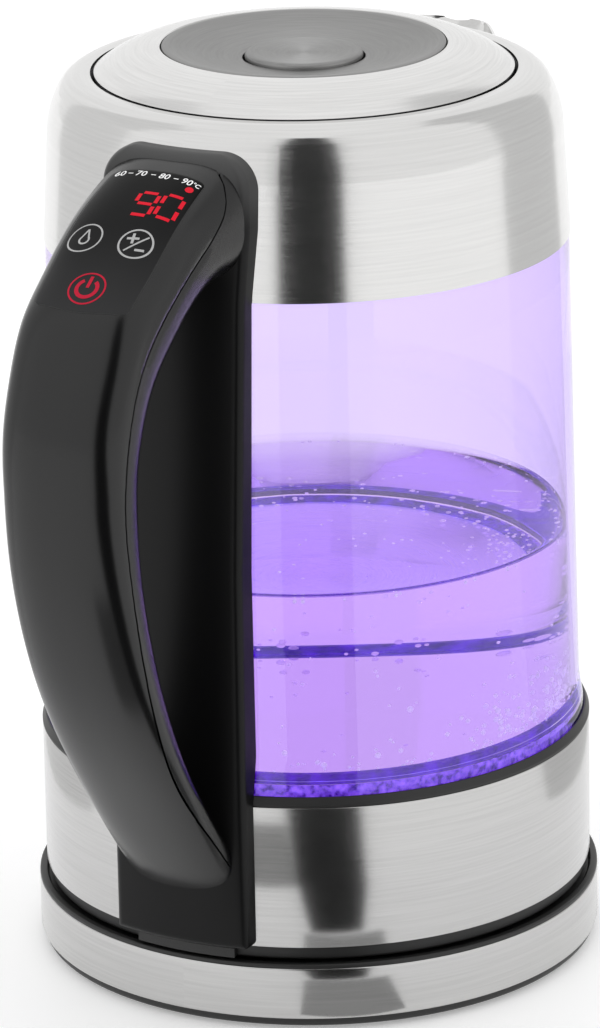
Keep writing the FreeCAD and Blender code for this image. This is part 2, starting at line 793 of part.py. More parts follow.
def build_lid_body():
    outer = D["lid_body_radius"]
    low = D["lid_body_low"]
    high = D["lid_body_top"]
    well = D["well_radius"]
    shell = turned("lid_shell", [
        (0, low), (well + 1.7, low), (well + 1.7, high - 1.8), (outer - 2, high - 1.8),
        (outer - 2, low), (outer, low), (outer, high), (well, high), (well, low + 1.5),
        (0, low + 1.5)])
    posts = []
    tools = []
    for index, _, x, y in circle_places(LID_SCREWS, 30):
        posts.append(cylinder("lid_post_%d" % index, 3.5, high - low - 1.5, x, y, low - 0.3))
        tools.append(cylinder("lid_pilot_%d" % index, 1.25, 6, x, y, low - 0.5))
    for name, side in (("lid_slot_left", 1), ("lid_slot_right", -1)):
        tools.append(block(name, 8.6, 6, 3.6, 0, side * 55, 242.2))
    solid = fuse("lid_body_solid", [shell] + posts)
    sub_part("lid_body", cut("lid_body_cut", solid, fuse("lid_body_tools", tools)))


def build_lid_bottom():
    low = D["lid_body_low"]
    plate = cylinder("underplate_disc", 52.8, 1, 0, 0, low - 1.4)
    holes = []
    screws = []
    for index, _, x, y in circle_places(LID_SCREWS, 30):
        holes.append(cylinder("underplate_hole_%d" % index, 1.4, 3, x, y, low - 2.4))
        screws.append(screw("lid_screw_%d" % index, x, y, low - 2.6, 244.6, 1.2, 2.5, 1.1))
    sub_part("lid_underplate", cut("underplate_cut", plate, fuse("underplate_holes", holes)))
    sub_part("lid_screws", group("lid_screw_set", screws))
    seal = D["lid_radius"] - 0.2
    sub_part("lid_seal", turned("lid_gasket", [
        (53, low - 2.4), (seal - 1, low - 2.4), Bend(seal, low - 1.4, 1), (seal - 0.9, low - 0.1),
        (53, low - 0.1)]))


def build_hinge_arm():
    """A goose-neck arm: it hangs from the pin, passes below the collar and carries the lid."""
    x = -D["pivot_radius"]
    z = D["pivot_level"]
    foot = D["lid_body_low"] - 1.5
    web = padded("arm_web", "XZ_Plane", [
        (x - 1.4, z - 10.8), (x + 16.2, z - 10.8), (x + 16.2, foot), (x + 10.2, foot),
        (x + 10.2, z - 8.6), (x + 1.4, z - 8.6), (x + 1.4, z), (x - 1.4, z)],
        D["arm_width"], both_ways=True)
    half = D["arm_width"] / 2
    eye = cylinder("arm_eye", 2, D["arm_width"], x, half, z, (1, 0, 0), 90)
    bore = cylinder("arm_bore", D["pin_radius"] + D["pin_clearance"], 20, x, 10, z, (1, 0, 0), 90)
    solid = fuse("arm_solid", [web, eye])
    sub_part("lid_hinge_arm", cut("arm_cut", solid, bore))


def coil_spring(name, radius, half, pitch, turns, low):
    """A spring of square wire; half is half the wire's width."""
    helix = Part.makeHelix(pitch, pitch * turns, radius)
    corners = [FreeCAD.Vector(radius + x * half, 0, z * half)
               for x, z in ((-1, -1), (1, -1), (1, 1), (-1, 1))]
    section = Part.makePolygon(corners + corners[:1])
    coil = Part.Wire(helix).makePipeShell([section], True, True)
    return place(shaped(name, coil), 0, 0, low)


def build_button():
    radius = D["button_radius"]
    top = D["button_top"]
    sub_part("lid_button", turned("button_cap", [
        (0, top - 10.1), (3, top - 10.1), (3, top - 1.6), (radius - 1.5, top - 1.6),
        (radius - 1.5, top - 8.6), (radius, top - 8.6), (radius, top - 0.7),
        Bend(radius - 0.7, top, 0.7), (radius - 2.4, top), Bend(0, top - 0.5, -260)]))
    half = 0.36
    low = D["lid_body_low"] + 1.6 + half
    sub_part("button_spring", coil_spring("return_spring", 4.6, half, 2.6, 4, low))


def build_latches():
    for node, side in (("latch_left", 1), ("latch_right", -1)):
        bar = block(node + "_bar", 8, 33.6, 3, 0, side * 40.8, 242.5)
        sub_part(node, bar)


# ---------------------------------------------------------------- handle

# The handle's path: outer point (r, z), inner point (r, z) and half width of each section.
HANDLE_STATIONS = [
    (60, 244, 60, 209.5, 21.4),
    (71.5, 242.5, 71, 209.5, 21.2),
    (84, 239, 80, 210, 20.5),
    (100, 232.3, 92, 206.5, 19.7),
    (114, 223.3, 103, 199, 19.2),
    (126.5, 214, 111.5, 190.5, 18.7),
    (134.5, 200.8, 117, 181.5, 18.4),
    (139.8, 187.5, 119.8, 171.5, 18.2),
    (141.6, 169, 120.4, 160, 18),
    (140.4, 152, 119.8, 147, 18),
    (136, 131.5, 117, 131, 18),
    (128, 110, 111.3, 112, 17.8),
    (117.5, 91, 103, 92.5, 17.5),
    (103, 69.5, 91.5, 73.5, 17.1),
    (87, 47, 77, 55.5, 16.8),
    (75, 32, 63, 40, 16.4),
]

# The parting line between the two handle shells, (r, z), from the collar down to the spine.
SEAM = [(64, 245), (71.5, 241.8), (76.5, 238), (80.6, 232.9), (87, 227.4), (96.5, 221.9),
        (108.6, 214.4), (123, 201.5), (130.4, 186), (133.4, 166.9), (131.9, 148.3),
        (122.7, 111.6), (105.5, 78.6), (85.5, 53.9), (72, 38)]

# How square the outer half of a section is: the grip's figure, and the foot's rounder one.
GRIP_FULLNESS = 3.1
FOOT_FULLNESS = 2.3
INNER_FULLNESS = 2.6
FOOT_LEVEL = 50
GRIP_LEVEL = 110


def handle_ring(station, inset):
    """Points round one section: a squared oval, fuller outside than inside, closed inside."""
    outer_r, outer_z, inner_r, inner_z, half_width = station
    outer = FreeCAD.Vector(-outer_r, 0, outer_z)
    inner = FreeCAD.Vector(-inner_r, 0, inner_z)
    centre = (outer + inner) * 0.5
    reach = (outer - inner).Length / 2
    across = (outer - inner).normalize()
    side = FreeCAD.Vector(0, 1, 0)
    share = min(max((outer_z - FOOT_LEVEL) / (GRIP_LEVEL - FOOT_LEVEL), 0), 1)
    fullness = FOOT_FULLNESS + share * (GRIP_FULLNESS - FOOT_FULLNESS)
    steps = 24
    points = []
    for step in range(steps + 1):
        turn = math.pi + 2 * math.pi * (step % steps) / steps
        c, s = math.cos(turn), math.sin(turn)
        s = 0 if step % steps == 0 else s
        power = 2 / (fullness if c > 0 else INNER_FULLNESS)
        u = math.copysign(abs(c) ** power, c) * (reach - inset)
        v = math.copysign(abs(s) ** power, s) * (half_width - inset)
        points.append(centre + across * u + side * v)
    return points


def handle_solid(inset):
    """The whole handle as one closed form: a smooth skin through the rings and two flat ends."""
    surface = Part.BSplineSurface()
    surface.interpolate([handle_ring(station, inset) for station in HANDLE_STATIONS])
    skin = surface.toShape()
    ends = []
    for edge in skin.Edges:
        gap = edge.valueAt(edge.FirstParameter) - edge.valueAt(edge.LastParameter)
        if gap.Length < 0.001:
            ends.append(Part.Face(Part.Wire([edge])))
    shell = Part.makeShell([skin] + ends)
    shell.sewShape()
    solid = Part.makeSolid(Part.Shell(shell.Faces))
    if solid.Volume < 0:
        solid.reverse()
    return solid


def seam_region(shift):
    """Everything outside the parting line, with the line moved outward by shift."""
    points = []
    for index, (r, z) in enumerate(SEAM):
        before = SEAM[max(index - 1, 0)]
        after = SEAM[min(index + 1, len(SEAM) - 1)]
        dr, dz = after[0] - before[0], after[1] - before[1]
        span = math.hypot(dr, dz)
        points.append(FreeCAD.Vector(-(r - shift * dz / span), -60, z + shift * dr / span))
    curve = Part.BSplineCurve()
    curve.interpolate(points)
    far = [FreeCAD.Vector(-72, -60, 10), FreeCAD.Vector(-170, -60, 10),
           FreeCAD.Vector(-170, -60, 270), FreeCAD.Vector(-58, -60, 270)]
    loop = [points[-1]] + far + [points[0]]
    lines = [Part.makeLine(a, b) for a, b in zip(loop, loop[1:])]
    face = Part.Face(Part.Wire([curve.toShape()] + lines))
    return face.extrude(FreeCAD.Vector(0, 120, 0))


def spine_outer():
    return [
        (D["spine_low_radius"], D["spine_low"]), (D["spine_low_radius"], 62),
        (D["spine_mid_radius"], D["spine_mid_level"]),
        (D["spine_head_radius"], D["shoulder_level"]),
        Bend(D["spine_top_radius"], D["spine_top"], D["spine_top_arc"])]


def build_spine():
    gap = 0.15
    band = D["lower_band_radius"] + gap
    large = D["shoulder_large_arc"] + gap
    collar = collar_outline(-gap)
    back = [
        (D["spine_top_back"], D["spine_top"]), Bend(*collar[1], -1 * large), (D["collar_low_radius"] + gap, D["collar_low"] - 0.3),
        (D["glass_waist_radius"] + 0.2, D["glass_waist_level"] + 0.5),
        (D["glass_foot_radius"] + 0.3, D["glass_foot_top"]), (76.2, D["retainer_top"] + 0.2),
        (band, D["lower_band_top"] + 1.2), (band, D["spine_low"])]
    strip = turned("spine_strip", spine_outer() + back, 60)
    place(strip, axis=(0, 0, 1), angle=180)
    low = D["spine_low"]
    top = D["spine_top"]
    corner = 1.2
    arch = 10
    foot = D["spine_low_width"]
    waist = D["spine_waist_width"]
    mid = D["spine_mid_width"]
    head = D["spine_head_width"]
    outline = padded("spine_outline", "YZ_Plane", [
        (foot - corner, low), Bend(foot, low + corner, corner), (foot, 62),
        (waist, D["spine_waist_level"]), (mid, D["spine_mid_level"]),
        (head, D["spine_head_level"]), (head, top - arch), Bend(head - arch, top, arch),
        (arch - head, top), Bend(-head, top - arch, arch), (-head, D["spine_head_level"]),
        (-mid, D["spine_mid_level"]), (-waist, D["spine_waist_level"]), (-foot, 62),
        (-foot, low + corner), Bend(corner - foot, low, corner)],
        100, backward=True)
    blank = common("spine_blank", [strip, outline])
    groove = turned("spine_groove", harness_profile(0.25), 6)
    place(groove, axis=(0, 0, 1), angle=180)
    tools = [groove]
    for index, (y, z, seat, _) in enumerate(HANDLE_SCREWS):
        depth = seat + HANDLE_SCREW_HEAD + 0.1 - 66
        tools.append(cylinder("spine_sink_%d" % index, 3.2, depth, -66, y, z, (0, 1, 0), -90))
        tools.append(cylinder("spine_hole_%d" % index, D["screw_radius"] + 0.15, 30, -70, y, z,
                              (0, 1, 0), -90))
    sub_part("handle_spine", cut("spine_cut", blank, fuse("spine_tools", tools)))
    harness = turned("harness_strip", harness_profile(0), 4)
    place(harness, axis=(0, 0, 1), angle=180)
    sub_part("handle_harness", harness)


def harness_profile(room):
    """The flat wiring strip that runs up behind the spine, with room around it."""
    return [(74.6 - room, 79), (76.2 + room, 79), (74.2 + room, 216), (72.6 - room, 216)]


# Screws that hold the shells to the spine: y, z, r of the head's outer face, r of the tip
HANDLE_SCREWS = [(-14.8, 217, 72.6, 92), (14.8, 217, 72.6, 92), (0, 56, 77.2, 86)]
HANDLE_SCREW_HEAD = 1.2


def build_handle_shells():
    outer = handle_solid(0)
    cavity = handle_solid(DIMENSIONS["handle_wall"])
    core = turned("spine_core", [(0, 20), (D["spine_low_radius"] + 0.1, 20)]
                  + [(point_of(p)[0] + 0.1, point_of(p)[1]) for p in spine_outer()[1:-1]]
                  + [Bend(D["spine_top_radius"] + 0.1, D["spine_top"] + 0.1,
                          D["spine_top_arc"] + 0.1), (0, 252)])
    doc.recompute()
    core_shape = core.Shape
    wall = outer.cut(cavity).cut(core_shape)
    region = seam_region(0)
    outer_wall = wall.copy().common(seam_region(DIMENSIONS["seam_gap"]))
    inner_wall = wall.copy().cut(region)
    inner_space = handle_solid(0.6).cut(core_shape)
    for y, z, _, tip in HANDLE_SCREWS:
        start = FreeCAD.Vector(-74, y, z)
        way = FreeCAD.Vector(-1, 0, 0)
        reach = tip - 74
        post = Part.makeCylinder(3.6, reach + 3, start, way).common(inner_space.copy())
        pilot = Part.makeCylinder(number(D["screw_radius"]) + 0.05, reach + 1, start, way)
        outer_wall = outer_wall.cut(post.copy())
        inner_wall = inner_wall.fuse(post.cut(region.copy())).cut(pilot)
    sub_part("handle_inner_shell", shaped("inner_shell", inner_wall))
    thickness = DIMENSIONS["panel_thickness"]
    gap = DIMENSIONS["panel_gap"]
    recess = panel_prism(gap).common(region).cut(handle_solid(thickness + gap))
    window = panel_prism(-2).common(region)
    outer_wall = outer_wall.cut(recess).cut(window)
    sub_part("handle_outer_shell", shaped("outer_shell", outer_wall))
    panel = panel_prism(0).common(region).common(outer).cut(handle_solid(thickness))
    sub_part("control_panel", shaped("panel", panel))


PANEL_NEAR_BOW = 1
PANEL_FAR_BOW = 1.6
PANEL_CORNER = 1.8


def panel_prism(grow):
    """The control panel's outline seen from above, with bowed ends, as an upright prism."""
    near, far = 80.2 - grow, 124.2 + grow
    near_width, far_width = 14.8 + grow, 15.6 + grow
    level = 205
    corners = [FreeCAD.Vector(-near, -near_width, level), FreeCAD.Vector(-near, near_width, level),
               FreeCAD.Vector(-far, far_width, level), FreeCAD.Vector(-far, -far_width, level)]
    near_middle = FreeCAD.Vector(PANEL_NEAR_BOW - near, 0, level)
    far_middle = FreeCAD.Vector(-far - PANEL_FAR_BOW, 0, level)
    edges = [Part.Arc(corners[0], near_middle, corners[1]).toShape(),
             Part.makeLine(corners[1], corners[2]),
             Part.Arc(corners[2], far_middle, corners[3]).toShape(),
             Part.makeLine(corners[3], corners[0])]
    prism = Part.Face(Part.Wire(edges)).extrude(FreeCAD.Vector(0, 0, 45))
    upright = [e for e in prism.Edges if abs(e.tangentAt(e.FirstParameter).z) > 0.9]
    return prism.makeFillet(PANEL_CORNER, upright)


def on_board(name, length, width, height, along, lift):
    """A box on the tilted display board; along runs down the slope from its centre."""
    tilt = math.radians(DIMENSIONS["board_tilt"])
    centre_x = -99.0 - along * math.cos(tilt) - lift * math.sin(tilt)
    centre_z = 225.4 - along * math.sin(tilt) + lift * math.cos(tilt)
    thing = doc.addObject("Part::Box", name)
    bind(thing, "Length", length)
    bind(thing, "Width", width)
    bind(thing, "Height", height)
    x = centre_x - length / 2 * math.cos(tilt)
    z = centre_z - length / 2 * math.sin(tilt)
    return place(thing, x, -width / 2, z, (0, 1, 0), -DIMENSIONS["board_tilt"])


def build_handle_inside():
    sub_part("display_board", on_board("display_circuit", 28, 24, 1.6, 0, -0.8))
    sub_part("display_module", on_board("display_block", 12, 18, 3, 0, 0.85))
    springs = [on_board("touch_spring_%d" % k, 4, 4, 1.6, along, 0.85)
               for k, along in enumerate((-11.5, 11.5))]
    sub_part("touch_springs", group("touch_spring_set", springs))
    screws = []
    for index, (y, z, seat, tip) in enumerate(HANDLE_SCREWS):
        head = cylinder("handle_screw_head_%d" % index, 2.9, HANDLE_SCREW_HEAD, -seat, y, z,
                        (0, 1, 0), -90)
        shank = cylinder("handle_screw_shank_%d" % index, D["screw_radius"], tip - seat, -seat, y,
                         z, (0, 1, 0), -90)
        screws.append(fuse("handle_screw_%d" % index, [head, shank]))
    sub_part("handle_screws", group("handle_screw_set", screws))


# ---------------------------------------------------------------- check and export


def check_document():
    doc.recompute()
    for thing in doc.Objects:
        if "Invalid" in thing.State or "Error" in thing.State:
            raise RuntimeError("failed feature: " + thing.Name)
    for part in SUB_PARTS:
        shape = part.Shape
        if shape.isNull() or not shape.isValid() or not shape.Solids:
            raise RuntimeError("bad shape: " + part.Label)


def export_parts():
    os.makedirs("parts", exist_ok=True)
    for part in SUB_PARTS:
        part.Shape.exportStep(os.path.join("parts", part.Label + ".step"))
        box = part.Shape.BoundBox
        print("%-20s solids %d  volume %9.1f  z %7.2f to %7.2f" % (
            part.Label, len(part.Shape.Solids), part.Shape.Volume, box.ZMin, box.ZMax))
    print("%d sub-parts" % len(SUB_PARTS))


def main():
    build_base_pan()
    build_base_band()
    build_base_deck()
    build_base_fittings()
    build_socket()
    build_jug_cover()
    build_connector()
    build_lower_band()
    build_chassis()
    build_jug_screws()
    build_retaining_ring()
    build_glass()
    build_seals()
    build_heater()
    build_lights()
    build_power_board()
    build_collar()
    build_collar_frame()
    build_filter()
    build_lid_cap()
    build_lid_disc()
    build_lid_body()
    build_lid_bottom()
    build_hinge_arm()
    build_button()
    build_latches()
    build_spine()
    build_handle_shells()
    build_handle_inside()
    check_document()
    export_parts()


main()
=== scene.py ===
import json
import math
import random

import bpy
import numpy as np
from mathutils import Matrix, Vector


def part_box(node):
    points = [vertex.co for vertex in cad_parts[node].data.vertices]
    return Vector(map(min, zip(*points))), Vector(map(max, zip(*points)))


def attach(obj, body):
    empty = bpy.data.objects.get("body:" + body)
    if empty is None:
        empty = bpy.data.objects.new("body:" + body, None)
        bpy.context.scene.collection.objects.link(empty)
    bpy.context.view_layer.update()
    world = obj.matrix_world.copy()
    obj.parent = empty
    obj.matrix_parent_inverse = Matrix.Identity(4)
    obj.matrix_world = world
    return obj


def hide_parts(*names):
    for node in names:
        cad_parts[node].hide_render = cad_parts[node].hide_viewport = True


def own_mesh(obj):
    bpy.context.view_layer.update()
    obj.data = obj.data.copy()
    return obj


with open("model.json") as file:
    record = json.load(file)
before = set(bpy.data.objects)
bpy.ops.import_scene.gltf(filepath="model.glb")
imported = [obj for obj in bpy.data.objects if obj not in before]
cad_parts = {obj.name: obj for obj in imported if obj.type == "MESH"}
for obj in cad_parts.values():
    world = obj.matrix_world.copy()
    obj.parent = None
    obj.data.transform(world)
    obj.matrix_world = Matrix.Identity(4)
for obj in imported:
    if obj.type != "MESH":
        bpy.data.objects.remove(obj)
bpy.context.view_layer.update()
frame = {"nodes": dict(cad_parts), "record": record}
NODES = frame["nodes"]
MM = 0.001


# ---- sizes read from the frame


def top_of(node):
    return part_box(node)[1].z / MM


def bottom_of(node):
    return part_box(node)[0].z / MM


def radius_of(node):
    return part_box(node)[1].y / MM


# ---- mesh helpers


def placed(name, data):
    """An object of the scene that holds the data."""
    thing = bpy.data.objects.new(name, data)
    bpy.context.scene.collection.objects.link(thing)
    return thing


def new_piece(name, verts, faces, body, material, replaces=(), smooth_angle=35):
    """A mesh from points in millimetres, riding on a body and hiding the CAD parts it replaces."""
    mesh = bpy.data.meshes.new(name)
    mesh.from_pydata([Vector(v) * MM for v in verts], [], faces)
    mesh.validate()
    mesh.materials.append(material)
    mesh.shade_smooth()
    mesh.set_sharp_from_angle(angle=math.radians(smooth_angle))
    piece = placed(name, mesh)
    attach(piece, body)
    if replaces:
        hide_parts(*replaces)
    return piece


def rounded(corners, steps=5):
    """An outline from corners (r, z, radius), each rounded to its radius."""
    outline = []
    count = len(corners)
    for index, (r, z, radius) in enumerate(corners):
        here = Vector((r, z))
        if radius <= 0:
            outline.append((r, z))
            continue
        before = (Vector(corners[index - 1][:2]) - here).normalized()
        after = (Vector(corners[(index + 1) % count][:2]) - here).normalized()
        half = before.angle(after) / 2
        reach = radius / math.tan(half)
        centre = here + (before + after).normalized() * (radius / math.sin(half))
        start = here + before * reach - centre
        end = here + after * reach - centre
        turn = start.angle_signed(end)
        for step in range(steps + 1):
            spoke = start.copy()
            spoke.rotate(Matrix.Rotation(-turn * step / steps, 2))
            outline.append(tuple(centre + spoke))
    return outline


def bend(start, end, radius, steps):
    """Points after start, up to end, on an arc. A positive radius turns anticlockwise."""
    a, b = Vector(start), Vector(end)
    half = (b - a) / 2
    rise = math.sqrt(max(radius ** 2 - half.length ** 2, 0))
    left = Vector((-half.y, half.x)).normalized()
    centre = a + half + left * (rise if radius > 0 else -rise)
    first = math.atan2(a.y - centre.y, a.x - centre.x)
    last = math.atan2(b.y - centre.y, b.x - centre.x)
    sweep = (last - first + math.pi) % (2 * math.pi) - math.pi
    reach = abs(radius)
    return [(centre.x + reach * math.cos(first + sweep * k / steps),
             centre.y + reach * math.sin(first + sweep * k / steps))
            for k in range(1, steps + 1)]


def lathe(name, outline, body, material, replaces=(), segments=256, smooth_angle=35):
    """A closed outline (r, z), in millimetres, turned about the upright axis."""
    verts = []
    rings = []
    for r, z in outline:
        if r < 0.0005:
            rings.append([len(verts)] * segments)
            verts.append((0, 0, z))
            continue
        first = len(verts)
        rings.append([first + k for k in range(segments)])
        for k in range(segments):
            turn = 2 * math.pi * k / segments
            verts.append((r * math.cos(turn), r * math.sin(turn), z))
    faces = []
    for index in range(len(rings)):
        low, high = rings[index - 1], rings[index]
        for k in range(segments):
            n = (k + 1) % segments
            corners = [low[k], low[n], high[n], high[k]]
            unique = list(dict.fromkeys(corners))
            if len(unique) > 2:
                faces.append(unique)
    piece = new_piece(name, verts, faces, body, material, replaces, smooth_angle)
    face_outward(piece)
    return piece


def ring_faces(rows, count, first=0):
    """Faces that join closed rings of points, count to a ring, from point first on."""
    faces = []
    for row in range(rows):
        a = first + row * count
        b = a + count
        for k in range(count):
            n = (k + 1) % count
            faces.append((a + k, b + k, b + n, a + n))
    return faces


def round_off(radius, away):
    """How far a rounded edge has dropped at a distance from its rim."""
    if away >= radius:
        return 0.0
    return radius - math.sqrt(max(radius ** 2 - (radius - max(away, 0)) ** 2, 0))


def slab(verts, wide, tall):
    """Faces of a thick sheet: a grid of front points followed by the same grid of back points."""
    size = wide * tall
    faces = []
    for j in range(tall - 1):
        for i in range(wide - 1):
            a = j * wide + i
            faces.append((a, a + 1, a + wide + 1, a + wide))
            faces.append((size + a, size + a + wide, size + a + wide + 1, size + a + 1))
    rim = list(range(wide)) + [j * wide + wide - 1 for j in range(1, tall)]
    rim += [(tall - 1) * wide + i for i in range(wide - 2, -1, -1)]
    rim += [j * wide for j in range(tall - 2, 0, -1)]
    for k, a in enumerate(rim):
        b = rim[(k + 1) % len(rim)]
        faces.append((b, a, size + a, size + b))
    return verts, faces


def face_outward(piece):
    """Turns a closed mesh so that its faces look out."""
    mesh = piece.data
    mesh.calc_loop_triangles()
    volume = 0
    for tri in mesh.loop_triangles:
        a, b, c = (mesh.vertices[i].co for i in tri.vertices)
        volume += a.dot(b.cross(c))
    if volume < 0:
        mesh.flip_normals()


# ---- materials


def material(name):
    mat = bpy.data.materials.new(name)
    mat.use_nodes = True
    nodes = mat.node_tree.nodes
    return mat, nodes, mat.node_tree.links, nodes["Principled BSDF"]


def add(nodes, kind, **settings):
    node = nodes.new(kind)
    for key, value in settings.items():
        setattr(node, key, value)
    return node


def fine_noise(nodes, links, scale, stretch, detail=3):
    """Noise in the piece's own coordinates, in metres, stretched along the axes."""
    place = add(nodes, "ShaderNodeTexCoord")
    mapping = add(nodes, "ShaderNodeMapping")
    mapping.inputs["Scale"].default_value = stretch
    noise = add(nodes, "ShaderNodeTexNoise")
    noise.inputs["Scale"].default_value = scale
    noise.inputs["Detail"].default_value = detail
    links.new(place.outputs["Object"], mapping.inputs["Vector"])
    links.new(mapping.outputs["Vector"], noise.inputs["Vector"])
    return noise


def turned_noise(nodes, links, along, across, detail=2.5):
    """Noise stretched round the upright axis: fine from ring to ring, long round the turn."""
    place = add(nodes, "ShaderNodeTexCoord")
    split = add(nodes, "ShaderNodeSeparateXYZ")
    links.new(place.outputs["Object"], split.inputs[0])
    turn = add(nodes, "ShaderNodeMath", operation="ARCTAN2")
    links.new(split.outputs["Y"], turn.inputs[0])
    links.new(split.outputs["X"], turn.inputs[1])
    squares = []
    for axis in ("X", "Y"):
        square = add(nodes, "ShaderNodeMath", operation="POWER")
        square.inputs[1].default_value = 2
        links.new(split.outputs[axis], square.inputs[0])
        squares.append(square)
    total = add(nodes, "ShaderNodeMath", operation="ADD")
    links.new(squares[0].outputs[0], total.inputs[0])
    links.new(squares[1].outputs[0], total.inputs[1])
    reach = add(nodes, "ShaderNodeMath", operation="SQRT")
    links.new(total.outputs[0], reach.inputs[0])
    join = add(nodes, "ShaderNodeCombineXYZ")
    for source, socket, factor in ((turn, "X", along), (reach, "Y", across),
                                   (split, "Z", across)):
        scale = add(nodes, "ShaderNodeMath", operation="MULTIPLY")
        scale.inputs[1].default_value = factor
        output = source.outputs["Z"] if source is split else source.outputs[0]
        links.new(output, scale.inputs[0])
        links.new(scale.outputs[0], join.inputs[socket])
    noise = add(nodes, "ShaderNodeTexNoise")
    noise.inputs["Scale"].default_value = 1
    noise.inputs["Detail"].default_value = detail
    links.new(join.outputs[0], noise.inputs["Vector"])
    return noise


def spread(nodes, links, source, low, high):
    """The source's 0..1 range moved to low..high."""
    node = add(nodes, "ShaderNodeMapRange")
    node.inputs["From Min"].default_value = 0.25
    node.inputs["From Max"].default_value = 0.75
    node.inputs["To Min"].default_value = low
    node.inputs["To Max"].default_value = high
    links.new(source, node.inputs["Value"])
    return node.outputs["Result"]


def bump(nodes, links, shader, source, strength, distance):
    node = add(nodes, "ShaderNodeBump")
    node.inputs["Strength"].default_value = strength
    node.inputs["Distance"].default_value = distance
    links.new(source, node.inputs["Height"])
    links.new(node.outputs["Normal"], shader.inputs["Normal"])


def tint(nodes, links, shader, source, dark, light):
    ramp = add(nodes, "ShaderNodeValToRGB")
    ramp.color_ramp.elements[0].position = 0.3
    ramp.color_ramp.elements[1].position = 0.7
    ramp.color_ramp.elements[0].color = (*dark, 1)
    ramp.color_ramp.elements[1].color = (*light, 1)
    links.new(source, ramp.inputs["Fac"])
    links.new(ramp.outputs["Color"], shader.inputs["Base Color"])


def glow_like_base(nodes, links, shader, strength):
    """The piece gives off light of the colour that its base has."""
    ramp = [n for n in nodes if n.type == "VALTORGB"][0]
    links.new(ramp.outputs["Color"], shader.inputs["Emission Color"])
    shader.inputs["Emission Strength"].default_value = strength


def brushed_metal(name, dark, light, rough_low, rough_high, warmth=(1, 0.995, 0.985)):
    """Metal brushed round the kettle: very fine scratches, each a little rougher or smoother."""
    mat, nodes, links, shader = material(name)
    shader.inputs["Metallic"].default_value = 1
    shader.inputs["Anisotropic"].default_value = 0.7
    tangent = add(nodes, "ShaderNodeTangent", direction_type="RADIAL", axis="Z")
    links.new(tangent.outputs[0], shader.inputs["Tangent"])
    fine = turned_noise(nodes, links, 9, 9000)
    coarse = turned_noise(nodes, links, 2.2, 1500, 4)
    tint(nodes, links, shader, coarse.outputs["Fac"], tuple(dark * c for c in warmth),
         tuple(light * c for c in warmth))
    links.new(spread(nodes, links, fine.outputs["Fac"], rough_low, rough_high),
              shader.inputs["Roughness"])
    bump(nodes, links, shader, fine.outputs["Fac"], 0.03, 0.00002)
    return mat


def lit_plate():
    """The heater plate, brushed round its centre; its violet colour and glow are painted light,
    standing in for the violet light guide at its edge.
    """
    mat, nodes, links, shader = material("lit_heater_plate")
    shader.inputs["Metallic"].default_value = 0.85
    shader.inputs["Anisotropic"].default_value = 0.8
    tangent = add(nodes, "ShaderNodeTangent", direction_type="RADIAL", axis="Z")
    links.new(tangent.outputs[0], shader.inputs["Tangent"])
    rings = turned_noise(nodes, links, 3, 2600)
    # Painted light: the steel plate is tinted violet and made to glow, standing in for the light guide
    # lighting it.
    tint(nodes, links, shader, rings.outputs["Fac"], (0.56, 0.38, 0.98), (0.68, 0.5, 1))
    glow_like_base(nodes, links, shader, 0.34)
    links.new(spread(nodes, links, rings.outputs["Fac"], 0.26, 0.34), shader.inputs["Roughness"])
    return mat


def plastic(name, dark, light, rough_low, rough_high, grain=2600, depth=0.00002):
    """Moulded plastic: a faint spark-eroded grain and slight gloss variation."""
    mat, nodes, links, shader = material(name)
    skin = fine_noise(nodes, links, grain, (1, 1, 1), 2)
    broad = fine_noise(nodes, links, 18, (1, 1, 1), 2)
    tint(nodes, links, shader, broad.outputs["Fac"], dark, light)
    links.new(spread(nodes, links, broad.outputs["Fac"], rough_low, rough_high),
              shader.inputs["Roughness"])
    bump(nodes, links, shader, skin.outputs["Fac"], 0.25, depth)
    return mat


def spine_plastic():
    """The spine's duller black; its top is painted lighter, a painted highlight for light from above.
    """
    mat, nodes, links, shader = material("dull_black_spine")
    shader.inputs["Specular IOR Level"].default_value = 0.2
    skin = fine_noise(nodes, links, 2600, (1, 1, 1), 2)
    bump(nodes, links, shader, skin.outputs["Fac"], 0.25, 0.00002)
    links.new(spread(nodes, links, skin.outputs["Fac"], 0.3, 0.36), shader.inputs["Roughness"])
    # Painted highlight: the base colour lightens towards the top, standing in for light falling on it
    # from above.
    height_tint(nodes, links, shader, 0.226, 0.243, (0.003, 0.003, 0.0032), (0.07, 0.07, 0.07))
    return mat


def height_tint(nodes, links, shader, low, high, low_colour, high_colour):
    """The base colour goes from one colour to another between two levels, in metres."""
    place = add(nodes, "ShaderNodeTexCoord")
    split = add(nodes, "ShaderNodeSeparateXYZ")
    links.new(place.outputs["Object"], split.inputs[0])
    share = add(nodes, "ShaderNodeMapRange")
    share.inputs["From Min"].default_value = low
    share.inputs["From Max"].default_value = high
    links.new(split.outputs["Z"], share.inputs["Value"])
    ramp = add(nodes, "ShaderNodeValToRGB")
    ramp.color_ramp.elements[0].color = (*low_colour, 1)
    ramp.color_ramp.elements[1].color = (*high_colour, 1)
    links.new(share.outputs["Result"], ramp.inputs["Fac"])
    links.new(ramp.outputs["Color"], shader.inputs["Base Color"])


def panel_plastic():
    """The panel's smoked window: black over the display, greyer towards its lower end."""
    mat, nodes, links, shader = material("smoked_panel")
    shader.inputs["Specular IOR Level"].default_value = 0.08
    skin = fine_noise(nodes, links, 700, (1, 1, 1), 2)
    bump(nodes, links, shader, skin.outputs["Fac"], 0.1, 0.000004)
    links.new(spread(nodes, links, skin.outputs["Fac"], 0.2, 0.26), shader.inputs["Roughness"])
    height_tint(nodes, links, shader, 0.21, 0.238, (0.04, 0.04, 0.041), (0.0015, 0.0015, 0.0015))
    return mat


